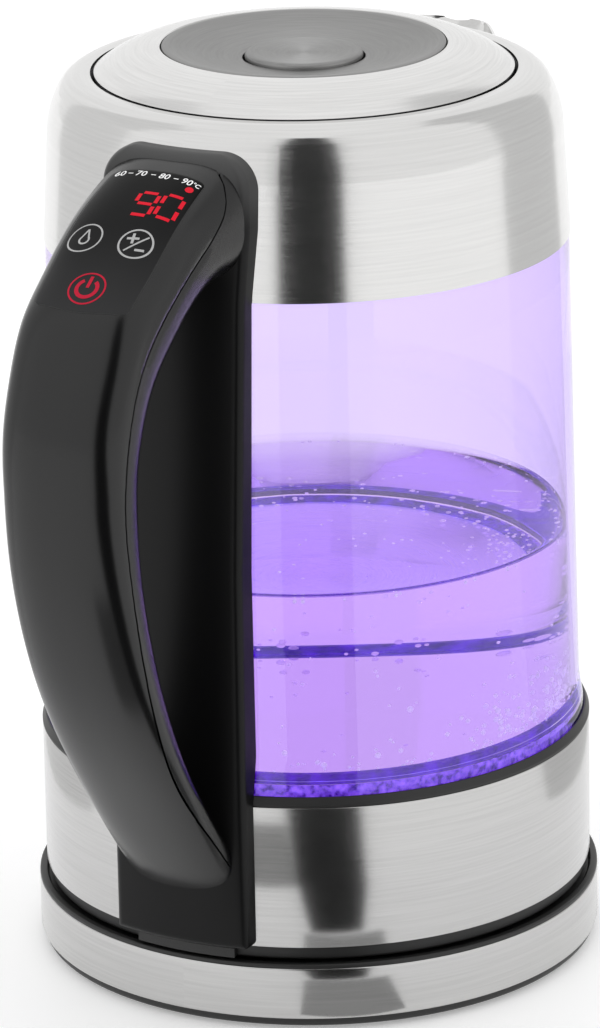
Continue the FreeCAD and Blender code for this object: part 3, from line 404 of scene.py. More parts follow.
def absorb(nodes, links, colour, density):
    """Light loses the other colours as it goes through the piece."""
    fog = add(nodes, "ShaderNodeVolumeAbsorption")
    fog.inputs["Color"].default_value = (*colour, 1)
    fog.inputs["Density"].default_value = density
    output = [n for n in nodes if n.type == "OUTPUT_MATERIAL"][0]
    links.new(fog.outputs[0], output.inputs["Volume"])


def clear_body(name, ior, ripple_scale, ripple_stretch, ripple_detail, strength, depth, colour,
               density):
    """Something clear, with a faint ripple, that takes the other colours out of the light."""
    mat, nodes, links, shader = material(name)
    shader.inputs["Base Color"].default_value = (1, 1, 1, 1)
    shader.inputs["Transmission Weight"].default_value = 1
    shader.inputs["IOR"].default_value = ior
    shader.inputs["Roughness"].default_value = 0
    ripple = fine_noise(nodes, links, ripple_scale, (1, 1, ripple_stretch), ripple_detail)
    bump(nodes, links, shader, ripple.outputs["Fac"], strength, depth)
    absorb(nodes, links, colour, density)
    return mat


def air_bubble():
    """A bubble under water: pale and glassy; its lilac tint and faint glow are painted light from the
    violet-lit water.
    """
    mat, nodes, links, shader = material("air_bubble")
    shader.inputs["Transmission Weight"].default_value = 0.35
    shader.inputs["IOR"].default_value = 1.3
    shader.inputs["Roughness"].default_value = 0.08
    # Painted light: the glow stands in for light caught by the bubble.
    shader.inputs["Emission Color"].default_value = (0.85, 0.75, 1, 1)
    shader.inputs["Emission Strength"].default_value = 0.3
    film = fine_noise(nodes, links, 900, (1, 1, 1), 1)
    tint(nodes, links, shader, film.outputs["Fac"], (0.85, 0.78, 1), (0.95, 0.92, 1))
    bump(nodes, links, shader, film.outputs["Fac"], 0.05, 0.00005)
    return mat


def glow(name, dark, light, strength, scale=220, detail=2, roughness=0.4):
    """A lit surface with brighter and duller patches."""
    mat, nodes, links, shader = material(name)
    patches = fine_noise(nodes, links, scale, (1, 1, 1), detail)
    tint(nodes, links, shader, patches.outputs["Fac"], dark, light)
    glow_like_base(nodes, links, shader, strength)
    shader.inputs["Specular IOR Level"].default_value = 0.1
    shader.inputs["Roughness"].default_value = roughness
    return mat


def printed_ink(name, colour, strength):
    """Ink or a lit mark, a little uneven."""
    return glow(name, tuple(0.88 * c for c in colour), colour, strength, 3000, 1, 0.5)


BAND_STEEL = brushed_metal("brushed_steel_band", 0.52, 0.58, 0.11, 0.17)
COLLAR_STEEL = brushed_metal("brushed_steel_collar", 0.68, 0.73, 0.1, 0.16)
LID_STEEL = brushed_metal("brushed_steel_lid", 0.7, 0.78, 0.13, 0.2)
LID_GREY = brushed_metal("satin_grey_metal", 0.27, 0.31, 0.34, 0.42)
PLATE_STEEL = lit_plate()
HANDLE_BLACK = plastic("satin_black_handle", (0.002, 0.002, 0.0022), (0.0035, 0.0035, 0.0037),
                       0.2, 0.25)
SPINE_BLACK = spine_plastic()
BASE_BLACK = plastic("matt_black_base", (0.008, 0.008, 0.008), (0.016, 0.016, 0.016), 0.4, 0.5)
PANEL_BLACK = panel_plastic()
INNER_BLACK = plastic("inner_plastic", (0.03, 0.03, 0.032), (0.05, 0.05, 0.055), 0.45, 0.6)
RUBBER = plastic("soft_rubber", (0.015, 0.015, 0.015), (0.03, 0.03, 0.03), 0.7, 0.85, 1400, 4e-5)
SILICONE = plastic("silicone", (0.62, 0.62, 0.62), (0.72, 0.72, 0.72), 0.5, 0.65, 900)
FASTENER = brushed_metal("plated_fastener", 0.55, 0.7, 0.2, 0.3)
BRASS = brushed_metal("brass_contact", 0.62, 0.78, 0.2, 0.3, (1, 0.72, 0.3))
ALUMINIUM = brushed_metal("cast_aluminium", 0.5, 0.62, 0.35, 0.5)
CIRCUIT = plastic("circuit_board", (0.01, 0.09, 0.03), (0.02, 0.16, 0.06), 0.3, 0.45, 700)
WIRE = plastic("flat_wiring", (0.2, 0.2, 0.21), (0.3, 0.3, 0.31), 0.5, 0.6)
# The violet absorption of the glass and the water is painted light: clear glass and water are tinted
# to stand in for the violet light guide lighting them.
GLASS = clear_body("jug_glass", 1.47, 14, 0.35, 1, 0.05, 0.0006, (0.5, 0.2, 1), 118)
WATER = clear_body("lit_water", 1.333, 45, 0.2, 2, 0.12, 0.0008, (0.8, 0.5, 1), 8)
BUBBLE = air_bubble()
LIGHT_GUIDE = glow("violet_light_guide", (0.03, 0.0, 0.22), (0.3, 0.13, 0.95), 0.9, 520)
# The seal lip's violet colour and glow are painted light from the light guide behind it.
SEAL_GLOW = glow("lit_seal", (0.03, 0.0, 0.22), (0.11, 0.01, 0.6), 0.8, 260)
LAMP = glow("lamp_lens", (0.5, 0.3, 1), (0.8, 0.6, 1), 2.0)
WHITE_INK = printed_ink("white_ink", (0.8, 0.8, 0.8), 0.3)
GREY_INK = printed_ink("grey_ink", (0.42, 0.42, 0.42), 0.15)
RED_LIGHT = printed_ink("red_light", (0.55, 0.006, 0.02), 0.45)
DIM_RED = printed_ink("dim_red_light", (0.42, 0.008, 0.03), 0.3)

SLOT_MATERIAL = {
    "base_plastic": BASE_BLACK, "steel": COLLAR_STEEL, "lid_metal": LID_GREY,
    "handle_plastic": HANDLE_BLACK, "panel_gloss": PANEL_BLACK, "inner_plastic": INNER_BLACK,
    "glass": GLASS, "light_guide": LIGHT_GUIDE, "rubber": RUBBER, "silicone": SILICONE,
    "heater_steel": PLATE_STEEL, "fastener": FASTENER, "brass": BRASS, "aluminium": ALUMINIUM,
    "circuit": CIRCUIT, "lamp": LAMP, "wire": WIRE}


def dress_cad_nodes():
    for part in frame["record"]["subparts"]:
        node = NODES[part["node"]]
        node.data.materials.clear()
        node.data.materials.append(SLOT_MATERIAL[part["material_slot"]])


# ---- power base


BAND_WALL = 0.6


def steel_band(name, node, body, top_edge):
    """A thin band with rolled edges."""
    low, high, outer = bottom_of(node), top_of(node), radius_of(node)
    inner = outer - BAND_WALL
    lathe(name, rounded([(inner, low, 0.1), (outer, low, 0.5), (outer, high, top_edge),
                         (inner, high, 0.1)]), body, BAND_STEEL, [node])


def build_base():
    steel_band("base_band", "base_steel_band", "base", 0.4)
    floor, rim = bottom_of("base_pan"), top_of("base_pan")
    outer, wall = radius_of("base_pan"), 2.2
    lathe("base_pan_shell", rounded([
        (0, floor, 0), (outer, floor, 1.6), (outer, rim, 0.2), (outer - wall, rim, 0.2),
        (outer - wall, floor + wall, 0.5), (0, floor + wall, 0)]),
        "base", BASE_BLACK, ["base_pan"])


# ---- jug


def build_retainer():
    low, high = bottom_of("retaining_ring"), top_of("retaining_ring")
    bore = radius_of("glass_jug") + 0.12
    outer = radius_of("retaining_ring")
    step = top_of("lower_steel_band") + 0.1
    lathe("retainer_ring", rounded([
        (bore, low, 0.1), (outer - 0.7, low, 0.1), (outer - 0.7, step, 0.05), (outer, step, 0.25),
        (outer, step + 0.7, 0.5), (bore + 0.6, high, 0.3), (bore, high, 0.2)]),
        "jug", BASE_BLACK, ["retaining_ring"])


GLASS_WAIST_RADIUS = 74.0
GLASS_WAIST_LEVEL = 77.5
GLASS_TOP_RADIUS = 71.8
GLASS_WALL = 2.5
FOOT_ARC = 60


def glass_outer(level):
    """The glass's outer radius between its waist and the collar."""
    share = (level - GLASS_WAIST_LEVEL) / (bottom_of("steel_collar") - GLASS_WAIST_LEVEL)
    return GLASS_WAIST_RADIUS + share * (GLASS_TOP_RADIUS - GLASS_WAIST_RADIUS)


def build_glass():
    low, high = bottom_of("glass_jug"), top_of("glass_jug")
    foot = radius_of("glass_jug")
    edge = bottom_of("steel_collar") - 0.1
    foot_top = low + 4.4
    waist = (GLASS_WAIST_RADIUS, GLASS_WAIST_LEVEL)
    inside_waist = (GLASS_WAIST_RADIUS - GLASS_WALL, GLASS_WAIST_LEVEL)
    outline = [(foot - GLASS_WALL, low), (foot, low), (foot, foot_top)]
    outline += bend((foot, foot_top), waist, -FOOT_ARC, 10)
    outline += [(glass_outer(level), level) for level in (110, 140, 170)]
    outline += [(GLASS_TOP_RADIUS, edge), (GLASS_TOP_RADIUS - 1.2, edge),
                (GLASS_TOP_RADIUS - 1.2, high), (GLASS_TOP_RADIUS - 3.5, high),
                (GLASS_TOP_RADIUS - 3.5, edge + 1.2), (GLASS_TOP_RADIUS - GLASS_WALL, edge - 2)]
    outline += [(glass_outer(level) - GLASS_WALL, level) for level in (170, 140, 110)]
    outline += [inside_waist]
    outline += bend(inside_waist, (foot - GLASS_WALL, foot_top), FOOT_ARC, 10)
    lathe("jug_glass_wall", outline, "jug", GLASS, ["glass_jug"], 320, 20)


def plate_level():
    """The height of the plate's upper face, which the water lies on."""
    return top_of("heater_plate")


def build_heater():
    plate_top, outer, wall = plate_level(), radius_of("heater_plate"), 0.8
    rim_low = bottom_of("heater_plate")
    lathe("heater_dish", rounded([
        (0, plate_top, 0), (0, plate_top - wall, 0), (outer - wall, plate_top - wall, 0.4),
        (outer - wall, rim_low, 0.1), (outer, rim_low, 0.1), (outer, plate_top, 1.2)][::-1]),
        "jug", PLATE_STEEL, ["heater_plate"])
    ring_low, ring_high = bottom_of("light_ring"), top_of("light_ring")
    ring_outer = radius_of("light_ring")
    lathe("light_guide_ring", rounded([
        (outer + 0.3, ring_low, 0.1), (ring_outer, ring_low, 0.1), (ring_outer, ring_high, 0.5),
        (outer + 0.3, ring_high, 0.5)]),
        "jug", LIGHT_GUIDE, ["light_ring"])


def build_seal_lip():
    """The seal's lip over the plate's edge; its violet colour and glow are painted light, standing in
    for the light guide shining on it from behind.
    """
    outer = radius_of("heater_plate") + 0.1
    low = plate_level() + 0.05
    lathe("seal_lip", rounded([(outer - 5, low, 0.2), (outer, low, 0.2), (outer, low + 1.8, 0.6),
                               (outer - 2.4, low + 1.8, 0.8), (outer - 5, low + 0.7, 0.3)]),
          "jug", SEAL_GLOW)


WATER_LEVEL = 121.9
WATER_GAP = 0.06


def build_water():
    """The water of a part-filled jug, with its edge drawn up the glass."""
    floor = plate_level() + 0.1
    ledge = top_of("light_ring") + 0.15
    inside = radius_of("heater_plate") + 0.25
    foot = radius_of("glass_jug") - GLASS_WALL - WATER_GAP
    waist = GLASS_WAIST_RADIUS - GLASS_WALL - WATER_GAP
    edge = glass_outer(WATER_LEVEL) - GLASS_WALL - WATER_GAP
    outline = [(0, floor), (inside, floor), (inside, ledge), (foot, ledge)]
    outline += bend((foot, ledge), (waist, GLASS_WAIST_LEVEL), -FOOT_ARC, 8)
    outline += [(edge + 0.13, WATER_LEVEL - 8), (edge, WATER_LEVEL + 1.8),
                (edge - 0.5, WATER_LEVEL + 0.9), (edge - 1.4, WATER_LEVEL + 0.3),
                (edge - 3.2, WATER_LEVEL), (edge - 20, WATER_LEVEL), (0, WATER_LEVEL)]
    lathe("water", outline, "jug", WATER, (), 320, 60)


def ball(centre, radius, verts, faces):
    rows, columns = 6, 8
    first = len(verts)
    for row in range(rows + 1):
        tilt = math.pi * row / rows
        for column in range(columns):
            turn = 2 * math.pi * column / columns
            verts.append((centre[0] + radius * math.sin(tilt) * math.cos(turn),
                          centre[1] + radius * math.sin(tilt) * math.sin(turn),
                          centre[2] + radius * math.cos(tilt)))
    faces += ring_faces(rows, columns, first)


def build_bubbles():
    """Small bubbles: on the plate near the wall, on the wall, and some rising."""
    draw = random.Random(7)
    floor = plate_level()
    verts, faces = [], []

    def add_bubble(way, reach, lift, size):
        turn = math.radians(way)
        ball((reach * math.cos(turn), reach * math.sin(turn), floor + size + lift), size,
             verts, faces)

    for _ in range(190):
        size = draw.uniform(0.35, 0.95)
        add_bubble(draw.gauss(285, 24), 67 - abs(draw.gauss(0, 8)), abs(draw.gauss(0, 6)) + 0.3, size)
    for _ in range(150):
        size = draw.uniform(0.3, 0.9)
        add_bubble(draw.uniform(0, 360), 68 - abs(draw.gauss(0, 7)), abs(draw.gauss(0, 3)) + 0.3, size)
    for _ in range(60):
        size = draw.uniform(0.25, 0.55)
        add_bubble(draw.uniform(0, 360), 62 * math.sqrt(draw.random()), draw.uniform(0, 40), size)
    for _ in range(50):
        size = draw.uniform(0.3, 0.7)
        add_bubble(draw.uniform(0, 360), 69.6 - size - draw.uniform(0, 1.5),
                   WATER_LEVEL - floor - 2 * size - 0.3, size)
    new_piece("bubbles", verts, faces, "jug", BUBBLE, (), 80)


# ---- lid


def build_lid():
    edge, low = radius_of("lid_cap"), bottom_of("lid_cap")
    crown = top_of("lid_cap")
    disc = radius_of("lid_disc")
    wall = 0.8
    start = (edge, low + 1.2)
    outline = [(edge - wall, low), (edge - 0.15, low), (edge, low + 0.2), start]
    outline += bend(start, (disc + 0.5, crown - 0.1), 30, 24)
    outline += [(disc + 0.25, crown - 0.35), (disc + 0.25, crown - wall)]
    outline += bend((disc + 0.25, crown - wall), (edge - wall, low + 1.0), -29.2, 24)
    lathe("lid_ring", outline, "lid", LID_STEEL, ["lid_cap"], 256, 40)
    hole = radius_of("lid_button") + 0.6
    centre = 253.4
    outline = [(hole, centre - 1.4), (disc, crown - 1.4), (disc, crown - 0.5),
               (disc - 0.15, crown - 0.15), (disc - 0.6, crown), (disc - 1.6, crown)]
    outline += bend((disc - 1.6, crown), (hole + 0.4, centre), -70, 20)
    outline += [(hole, centre - 0.3)]
    lathe("lid_centre_disc", outline, "lid", LID_GREY, ["lid_disc"], 256, 40)
    radius, top = radius_of("lid_button"), top_of("lid_button")
    inside = radius - 1.5
    outline = [(0, top - 10.1), (3, top - 10.1), (3, top - 1.6), (inside, top - 1.6),
               (inside, top - 8.6), (radius, top - 8.6), (radius, top - 1.0),
               (radius - 0.25, top - 0.4), (radius - 0.8, top - 0.05), (radius - 1.5, top)]
    outline += bend((radius - 1.5, top), (0, top - 0.5), -260, 10)
    lathe("lid_button_cap", outline, "lid_button", LID_GREY, ["lid_button"], 192, 40)


# ---- handle

# Outer point (r, z), inner point (r, z) and half width of each section of the handle.
HANDLE_STATIONS = [
    (60, 244, 60, 209.5, 21.4),
    (71.5, 242.5, 71, 209.5, 21.2),
    (84, 239, 80, 210, 20.5),
    (100, 232.3, 92, 206.5, 19.7),
    (114, 223.3, 103, 199, 19.2),
    (126.5, 214, 111.5, 190.5, 18.7),
    (134.5, 200.8, 117, 181.5, 18.4),
    (139.8, 187.5, 119.8, 171.5, 18.2),
    (141.6, 169, 120.4, 160, 18),
    (140.4, 152, 119.8, 147, 18),
    (136, 131.5, 117, 131, 18),
    (128, 110, 111.3, 112, 17.8),
    (117.5, 91, 103, 92.5, 17.5),
    (103, 69.5, 91.5, 73.5, 17.1),
    (87, 47, 77, 55.5, 16.8),
    (75, 32, 63, 40, 16.4),
]
# The parting line between the two handle shells, (r, z), from the collar down to the spine.
SEAM = [(64, 245), (71.5, 241.8), (76.5, 238), (80.6, 232.9), (87, 227.4), (96.5, 221.9),
        (108.6, 214.4), (123, 201.5), (130.4, 186), (133.4, 166.9), (131.9, 148.3),
        (122.7, 111.6), (105.5, 78.6), (85.5, 53.9), (72, 38)]

# How square the outer half of a section is, against its level: squarest at the head.
FULLNESS_LEVELS = [50, 110, 170, 215]
FULLNESS = [2.2, 2.4, 2.5, 3.1]
INNER_FULLNESS = 2.6


def smooth_curve(points):
    """A natural cubic spline through points: returns a function of 0..1 by chord length."""
    data = np.array(points, float)
    steps = np.linalg.norm(np.diff(data[:, :2], axis=0), axis=1)
    knots = np.concatenate([[0], np.cumsum(steps)])
    count = len(data)
    system = np.eye(count)
    right = np.zeros_like(data)
    for i in range(1, count - 1):
        system[i, i - 1] = steps[i - 1]
        system[i, i] = 2 * (steps[i - 1] + steps[i])
        system[i, i + 1] = steps[i]
        right[i] = 6 * ((data[i + 1] - data[i]) / steps[i] - (data[i] - data[i - 1]) / steps[i - 1])
    second = np.linalg.solve(system, right)

    def at(share):
        place = share * knots[-1]
        i = int(min(max(np.searchsorted(knots, place) - 1, 0), count - 2))
        gap = steps[i]
        a, b = (knots[i + 1] - place) / gap, (place - knots[i]) / gap
        curve = ((a ** 3 - a) * second[i] + (b ** 3 - b) * second[i + 1]) * gap ** 2 / 6
        return a * data[i] + b * data[i + 1] + curve

    return at


station_at = smooth_curve(HANDLE_STATIONS)
seam_at = smooth_curve(SEAM)
SEAM_POINTS = np.array([seam_at(k / 600) for k in range(601)])


class Section:
    """One cross-section of the handle, at a share of its length."""

    def __init__(self, share):
        outer_r, outer_z, inner_r, inner_z, self.width = station_at(share)
        outer, inner = np.array([outer_r, outer_z]), np.array([inner_r, inner_z])
        self.centre = (outer + inner) / 2
        self.reach = np.linalg.norm(outer - inner) / 2
        self.across = (outer - inner) / (2 * self.reach)
        self.fullness = float(np.interp(outer_z, FULLNESS_LEVELS, FULLNESS))

    def seam_depth(self):
        """How far from the centre, towards the outside, the parting line crosses."""
        offset = SEAM_POINTS - self.centre
        along = offset @ self.across
        beside = offset @ np.array([-self.across[1], self.across[0]])
        near = [k for k in range(600) if beside[k] * beside[k + 1] <= 0
                and abs(along[k]) < self.reach * 1.05]
        if not near:
            return 0.0
        return float(max(min(along[near[0]], 0.93 * self.reach), -0.93 * self.reach))

    def angle_of(self, depth):
        share = depth / self.reach
        power = self.fullness if share > 0 else INNER_FULLNESS
        return math.acos(math.copysign(abs(share) ** (power / 2), share))

    def point(self, angle, inset=0.0):
        c, s = math.cos(angle), math.sin(angle)
        power = 2 / (self.fullness if c > 0 else INNER_FULLNESS)
        u = math.copysign(abs(c) ** power, c) * (self.reach - inset)
        v = math.copysign(abs(s) ** power, s) * (self.width - inset)
        r, z = self.centre + self.across * u
        return (-r, v, z)


SPINE_LEVELS = [(24.4, 82.2), (62, 82.2), (206, 77.5), (232.6, 76.8)]
SPINE_TOP = (72.8, 244.1)
SPINE_TOP_ARC = 20


def spine_radius(level):
    """The spine's outer face as a radius from the jug's axis."""
    if level <= SPINE_LEVELS[-1][0]:
        for (z0, r0), (z1, r1) in zip(SPINE_LEVELS, SPINE_LEVELS[1:]):
            if level <= z1:
                return r0 + (r1 - r0) * max(level - z0, 0) / (z1 - z0)
    start = (SPINE_LEVELS[-1][1], SPINE_LEVELS[-1][0])
    points = [start] + bend(start, SPINE_TOP, SPINE_TOP_ARC, 16)
    for (r0, z0), (r1, z1) in zip(points, points[1:]):
        if level <= z1:
            return r0 + (r1 - r0) * (level - z0) / (z1 - z0)
    return SPINE_TOP[0]


def kept_out(point, sink=1.8):
    """Moves a handle point that would reach through the spine to just inside its face."""
    x, y, z = point
    limit = spine_radius(min(max(z, SPINE_LEVELS[0][0]), SPINE_TOP[1])) - sink
    if math.hypot(x, y) < limit and abs(y) < limit:
        x = -math.sqrt(limit ** 2 - y ** 2)
    return (x, y, z)


def handle_strip(name, low_side, replaces):
    """One handle shell: rows of points from one parting line round to the other, closed inside."""
    rows = 150
    around = 44
    gap = 0.16
    verts = []
    first_share, last_share = 0.036, 0.985
    for row in range(rows + 1):
        section = Section(first_share + (last_share - first_share) * row / rows)
        depth = section.seam_depth() + (-gap if low_side else gap)
        limit = 0.97 * section.reach
        edge = section.angle_of(max(min(depth, limit), -limit))
        start, end = (edge, 2 * math.pi - edge) if low_side else (-edge, edge)
        ring = [section.point(start, 2.2), section.point(start, 0.5)]
        first, last = start + 0.012, end - 0.012
        ring.append(section.point(start + 0.004, 0.12))
        for step in range(around + 1):
            ring.append(section.point(first + (last - first) * step / around))
        ring.append(section.point(end - 0.004, 0.12))
        ring += [section.point(end, 0.5), section.point(end, 2.2)]
        verts += [kept_out(p) for p in ring]
    count = around + 7
    faces = ring_faces(rows, count)
    faces.append(tuple(range(count)))
    faces.append(tuple(rows * count + k for k in reversed(range(count))))
    piece = new_piece(name, verts, faces, "jug", HANDLE_BLACK, replaces, 40)
    face_outward(piece)


def build_button_spring():
    """The button's coil spring, given a mesh of its own; the real spring shortens as the button goes
    down.
    """
    low, high, reach = bottom_of("button_spring"), top_of("button_spring"), radius_of("button_spring")
    wire, turns, steps, around = 0.35, 4, 40, 10
    verts = []
    count = turns * steps
    for step in range(count + 1):
        angle = 2 * math.pi * step / steps
        level = low + wire + (high - low - 2 * wire) * step / count
        for side in range(around):
            way = 2 * math.pi * side / around
            out = reach - wire + wire * math.cos(way)
            verts.append((out * math.cos(angle), out * math.sin(angle), level + wire * math.sin(way)))
    faces = ring_faces(count, around)
    faces.append(tuple(range(around))[::-1])
    faces.append(tuple(count * around + side for side in range(around)))
    spring = new_piece("coil_spring", verts, faces, "lid", FASTENER, ["button_spring"])
    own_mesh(spring)


def build_spine():
    """The long strip on the jug: follows the jug's turn, with rounded edges and an arched top."""
    low, top = SPINE_LEVELS[0][0], SPINE_TOP[1]
    corner, arch, edge = 1.2, 10.0, 2.0
    widths = [(low, 20.2), (62, 20.2), (130, 19.5), (206, 20.5), (224, 21.8), (top, 21.8)]

    def half_width(level):
        width = np.interp(level, [w[0] for w in widths], [w[1] for w in widths])
        return float(width - round_off(corner, level - low) - round_off(arch, top - level))

    levels = [low + (top - low) * (0.5 - 0.5 * math.cos(math.pi * k / 170)) for k in range(171)]
    columns = [math.sin(math.pi * (k / 40 - 0.5)) for k in range(41)]
    verts = []

    def surface(y, z, back):
        away = min(half_width(z) - abs(y), z - low, top - z)
        radius = spine_back(z) if back else spine_radius(z) - round_off(edge, away)
        return (-math.sqrt(radius ** 2 - y ** 2), y, z)

    for back in (False, True):
        for z in levels:
            width = half_width(z)
            verts += [surface(width * c, z, back) for c in columns]
    verts, faces = slab(verts, len(columns), len(levels))
    piece = new_piece("spine_strip", verts, faces, "jug", SPINE_BLACK,
                      ["handle_spine"], 45)
    face_outward(piece)


SPINE_BACK = [(24.4, 77.0), (65.6, 77.0), (67.5, 76.2), (78, 74.3), (204, 72.4), (232.6, 70.6),
              (240, 69.7), (244.1, 68.2)]


def spine_back(level):
    return float(np.interp(level, [p[0] for p in SPINE_BACK], [p[1] for p in SPINE_BACK]))


# ---- control panel

PANEL_NEAR = 80.2
PANEL_DOWN = 49.2
PANEL_TOP_BOW = 0.9
PANEL_FOOT_BOW = 3.4
PANEL_HALF_WIDTH = 13.9
PANEL_SIDE_BOW = 0.7


def outer_surface(share, v):
    """The handle's outer face at a share of its length and v across."""
    section = Section(share)
    side = min(abs(v) / section.width, 0.999)
    u = section.reach * (1 - side ** section.fullness) ** (1 / section.fullness)
    r, z = section.centre + section.across * u
    return Vector((-r, v, z))


def head_point(r, v, lift=0.0):
    """The point of the handle's head above plan radius r and v across, raised by lift."""
    low, high = 0.02, 0.42
    for _ in range(26):
        middle = (low + high) / 2
        if -outer_surface(middle, v).x < r:
            low = middle
        else:
            high = middle
    here = outer_surface(low, v)
    along = outer_surface(low + 0.002, v) - outer_surface(low - 0.002, v)
    beside = outer_surface(low, v + 0.2) - outer_surface(low, v - 0.2)
    normal = along.cross(beside).normalized()
    if normal.z < 0:
        normal = -normal
    return here + normal * lift


def make_panel_map():
    """Distance along the head's centre line from the panel's near edge, against plan radius."""
    radii = [78.2 + k * 0.5 for k in range(105)]
    points = [head_point(r, 0) for r in radii]
    steps = np.concatenate([[0], np.cumsum([(b - a).length for a, b in zip(points, points[1:])])])
    return steps - np.interp(PANEL_NEAR, radii, steps), np.array(radii)


PANEL_STEPS, PANEL_RADII = make_panel_map()


def on_panel(right, down, lift):
    """A point of the panel: right and down as a person at the handle sees it, in millimetres
    from the middle of its top edge."""
    r = float(np.interp(down, PANEL_STEPS, PANEL_RADII))
    return head_point(r, -right, lift)


def panel_outline(share, side):
    """A point (right, down) of the panel: share runs down it and side across it, -1 to 1."""
    half = PANEL_HALF_WIDTH + PANEL_SIDE_BOW * math.sin(math.pi * share)
    corner = 1.3 if share < 0.5 else 2.0
    away = min(share, 1 - share) * PANEL_DOWN
    half -= round_off(corner, away)
    bow = 1 - (side * half / PANEL_HALF_WIDTH) ** 2
    top = 0.4 - PANEL_TOP_BOW * bow
    foot = PANEL_DOWN + PANEL_FOOT_BOW * bow
    return side * half, top + share * (foot - top), half


def build_panel():
    edge = 0.4
    shares = [0.5 - 0.5 * math.cos(math.pi * k / 60) for k in range(61)]
    columns = [math.sin(math.pi * (k / 28 - 0.5)) for k in range(29)]
    verts = []
    for back in (False, True):
        for share in shares:
            for side in columns:
                right, down, half = panel_outline(share, side)
                away = min(half - abs(right), share * PANEL_DOWN, (1 - share) * PANEL_DOWN)
                lift = -1.2 if back else 0.14 - round_off(edge, away)
                verts.append(on_panel(right, down, lift))
    verts, faces = slab(verts, len(columns), len(shares))
    piece = new_piece("panel_face", verts, faces, "jug", PANEL_BLACK,
                      ["control_panel"], 50)
    face_outward(piece)


def build_panel_gap():
    """The dark joint round the panel: a thin strip just under its edge."""
    verts, faces = [], []
    path = [(k / 40, -1) for k in range(41)] + [(1, -1 + k / 20) for k in range(1, 41)]
    path += [(1 - k / 40, 1) for k in range(1, 41)] + [(0, 1 - k / 20) for k in range(1, 40)]
    middle = PANEL_DOWN / 2
    for share, side in path:
        right, down, _ = panel_outline(share, side)
        for grow, lift in ((-0.3, 0.02), (0.16, 0.03)):
            length = math.hypot(right, down - middle)
            reach = (length + grow) / length
            verts.append(on_panel(right * reach, middle + (down - middle) * reach, lift))
    count = len(path)
    for k in range(count):
        n = (k + 1) % count
        faces.append((2 * k, 2 * k + 1, 2 * n + 1, 2 * n))
    new_piece("panel_joint", verts, faces, "jug", RUBBER)


DECAL_LIFT = 0.2


def decal(name, points, faces, ink):
    """A flat figure laid on the panel; points are (right, down)."""
    verts = [on_panel(right, down, DECAL_LIFT) for right, down in points]
    new_piece(name, verts, faces, "jug", ink)


def ring_figure(centre, inner, outer, steps=48, first=0, last=360):
    points, faces = [], []
    for k in range(steps + 1):
        turn = math.radians(first + (last - first) * k / steps)
        for reach in (inner, outer):
            points.append((centre[0] + reach * math.cos(turn), centre[1] - reach * math.sin(turn)))
    for k in range(steps):
        faces.append((2 * k, 2 * k + 1, 2 * k + 3, 2 * k + 2))
    return points, faces


def bar_figure(start, end, width):
    a, b = Vector(start), Vector(end)
    side = Vector((-(b - a).y, (b - a).x)).normalized() * width / 2
    steps = 6
    points, faces = [], []
    for k in range(steps + 1):
        here = a.lerp(b, k / steps)
        points += [tuple(here + side), tuple(here - side)]
    for k in range(steps):
        faces.append((2 * k, 2 * k + 1, 2 * k + 3, 2 * k + 2))
    return points, faces


def joined(figures):
    points, faces = [], []
    for some_points, some_faces in figures:
        first = len(points)
        points += some_points
        faces += [tuple(first + i for i in face) for face in some_faces]
    return points, faces


SEGMENTS = {"9": "abcdfg", "0": "abcdef"}


def digit_figures(digit, left, top, width, height, stroke, lean):
    """A seven-segment figure; lean moves its top to the right."""
    middle = top + height / 2
    bottom = top + height
    right = left + width
    gap = stroke * 0.65
    lines = {"a": ((left + gap, top), (right - gap, top)),
             "b": ((right, top + gap), (right, middle - gap)),
             "c": ((right, middle + gap), (right, bottom - gap)),
             "d": ((left + gap, bottom), (right - gap, bottom)),
             "e": ((left, middle + gap), (left, bottom - gap)),
             "f": ((left, top + gap), (left, middle - gap)),
             "g": ((left + gap, middle), (right - gap, middle))}
    figures = []
    for key in SEGMENTS[digit]:
        start, end = [(x + lean * (bottom - y), y) for x, y in lines[key]]
        figures.append(bar_figure(start, end, stroke))
    return figures


def lettering(name, text, right, down, size, angle, ink):
    """A word laid on the panel, its middle at (right, down), turned by angle."""
    curve = bpy.data.curves.new(name + "_text", "FONT")
    curve.body = text
    curve.size = size
    curve.align_x = "CENTER"
    curve.align_y = "CENTER"
    curve.resolution_u = 3
    curve.offset = 0.04
    holder = placed(name + "_text", curve)
    bpy.context.view_layer.update()
    mesh = bpy.data.meshes.new_from_object(holder.evaluated_get(
        bpy.context.evaluated_depsgraph_get()))
    bpy.data.objects.remove(holder)
    turn = math.radians(angle)
    points = []
    for vertex in mesh.vertices:
        x, y = vertex.co.x, vertex.co.y
        points.append((right + x * math.cos(turn) - y * math.sin(turn),
                       down - x * math.sin(turn) - y * math.cos(turn)))
    faces = [tuple(p.vertices) for p in mesh.polygons]
    bpy.data.meshes.remove(mesh)
    decal(name, points, faces, ink)


def build_panel_marks():
    """The temperature scale along the top edge, and the lamp under its last figure."""
    for name, text, right, down, angle in (
            ("mark_60", "60", -10.7, 1.9, 3), ("mark_70", "70", -4.6, 1.6, 1),
            ("mark_80", "80", 2.4, 1.8, -3), ("mark_90", "90", 9.3, 2.3, -6),
            ("mark_degree", "°C", 12.1, 2.5, -9)):
        lettering(name, text, right, down, 2.1 if "C" in text else 3.2, angle, WHITE_INK)
    for index, (right, down) in enumerate(((-7.7, 1.7), (-1.0, 1.6), (5.9, 2.0))):
        dash = bar_figure((right - 0.7, down), (right + 0.7, down), 0.32)
        decal("mark_dash_%d" % index, *dash, WHITE_INK)
    decal("lamp_dot", *ring_figure((11.3, 5.0), 0.0, 1.15, 24), RED_LIGHT)


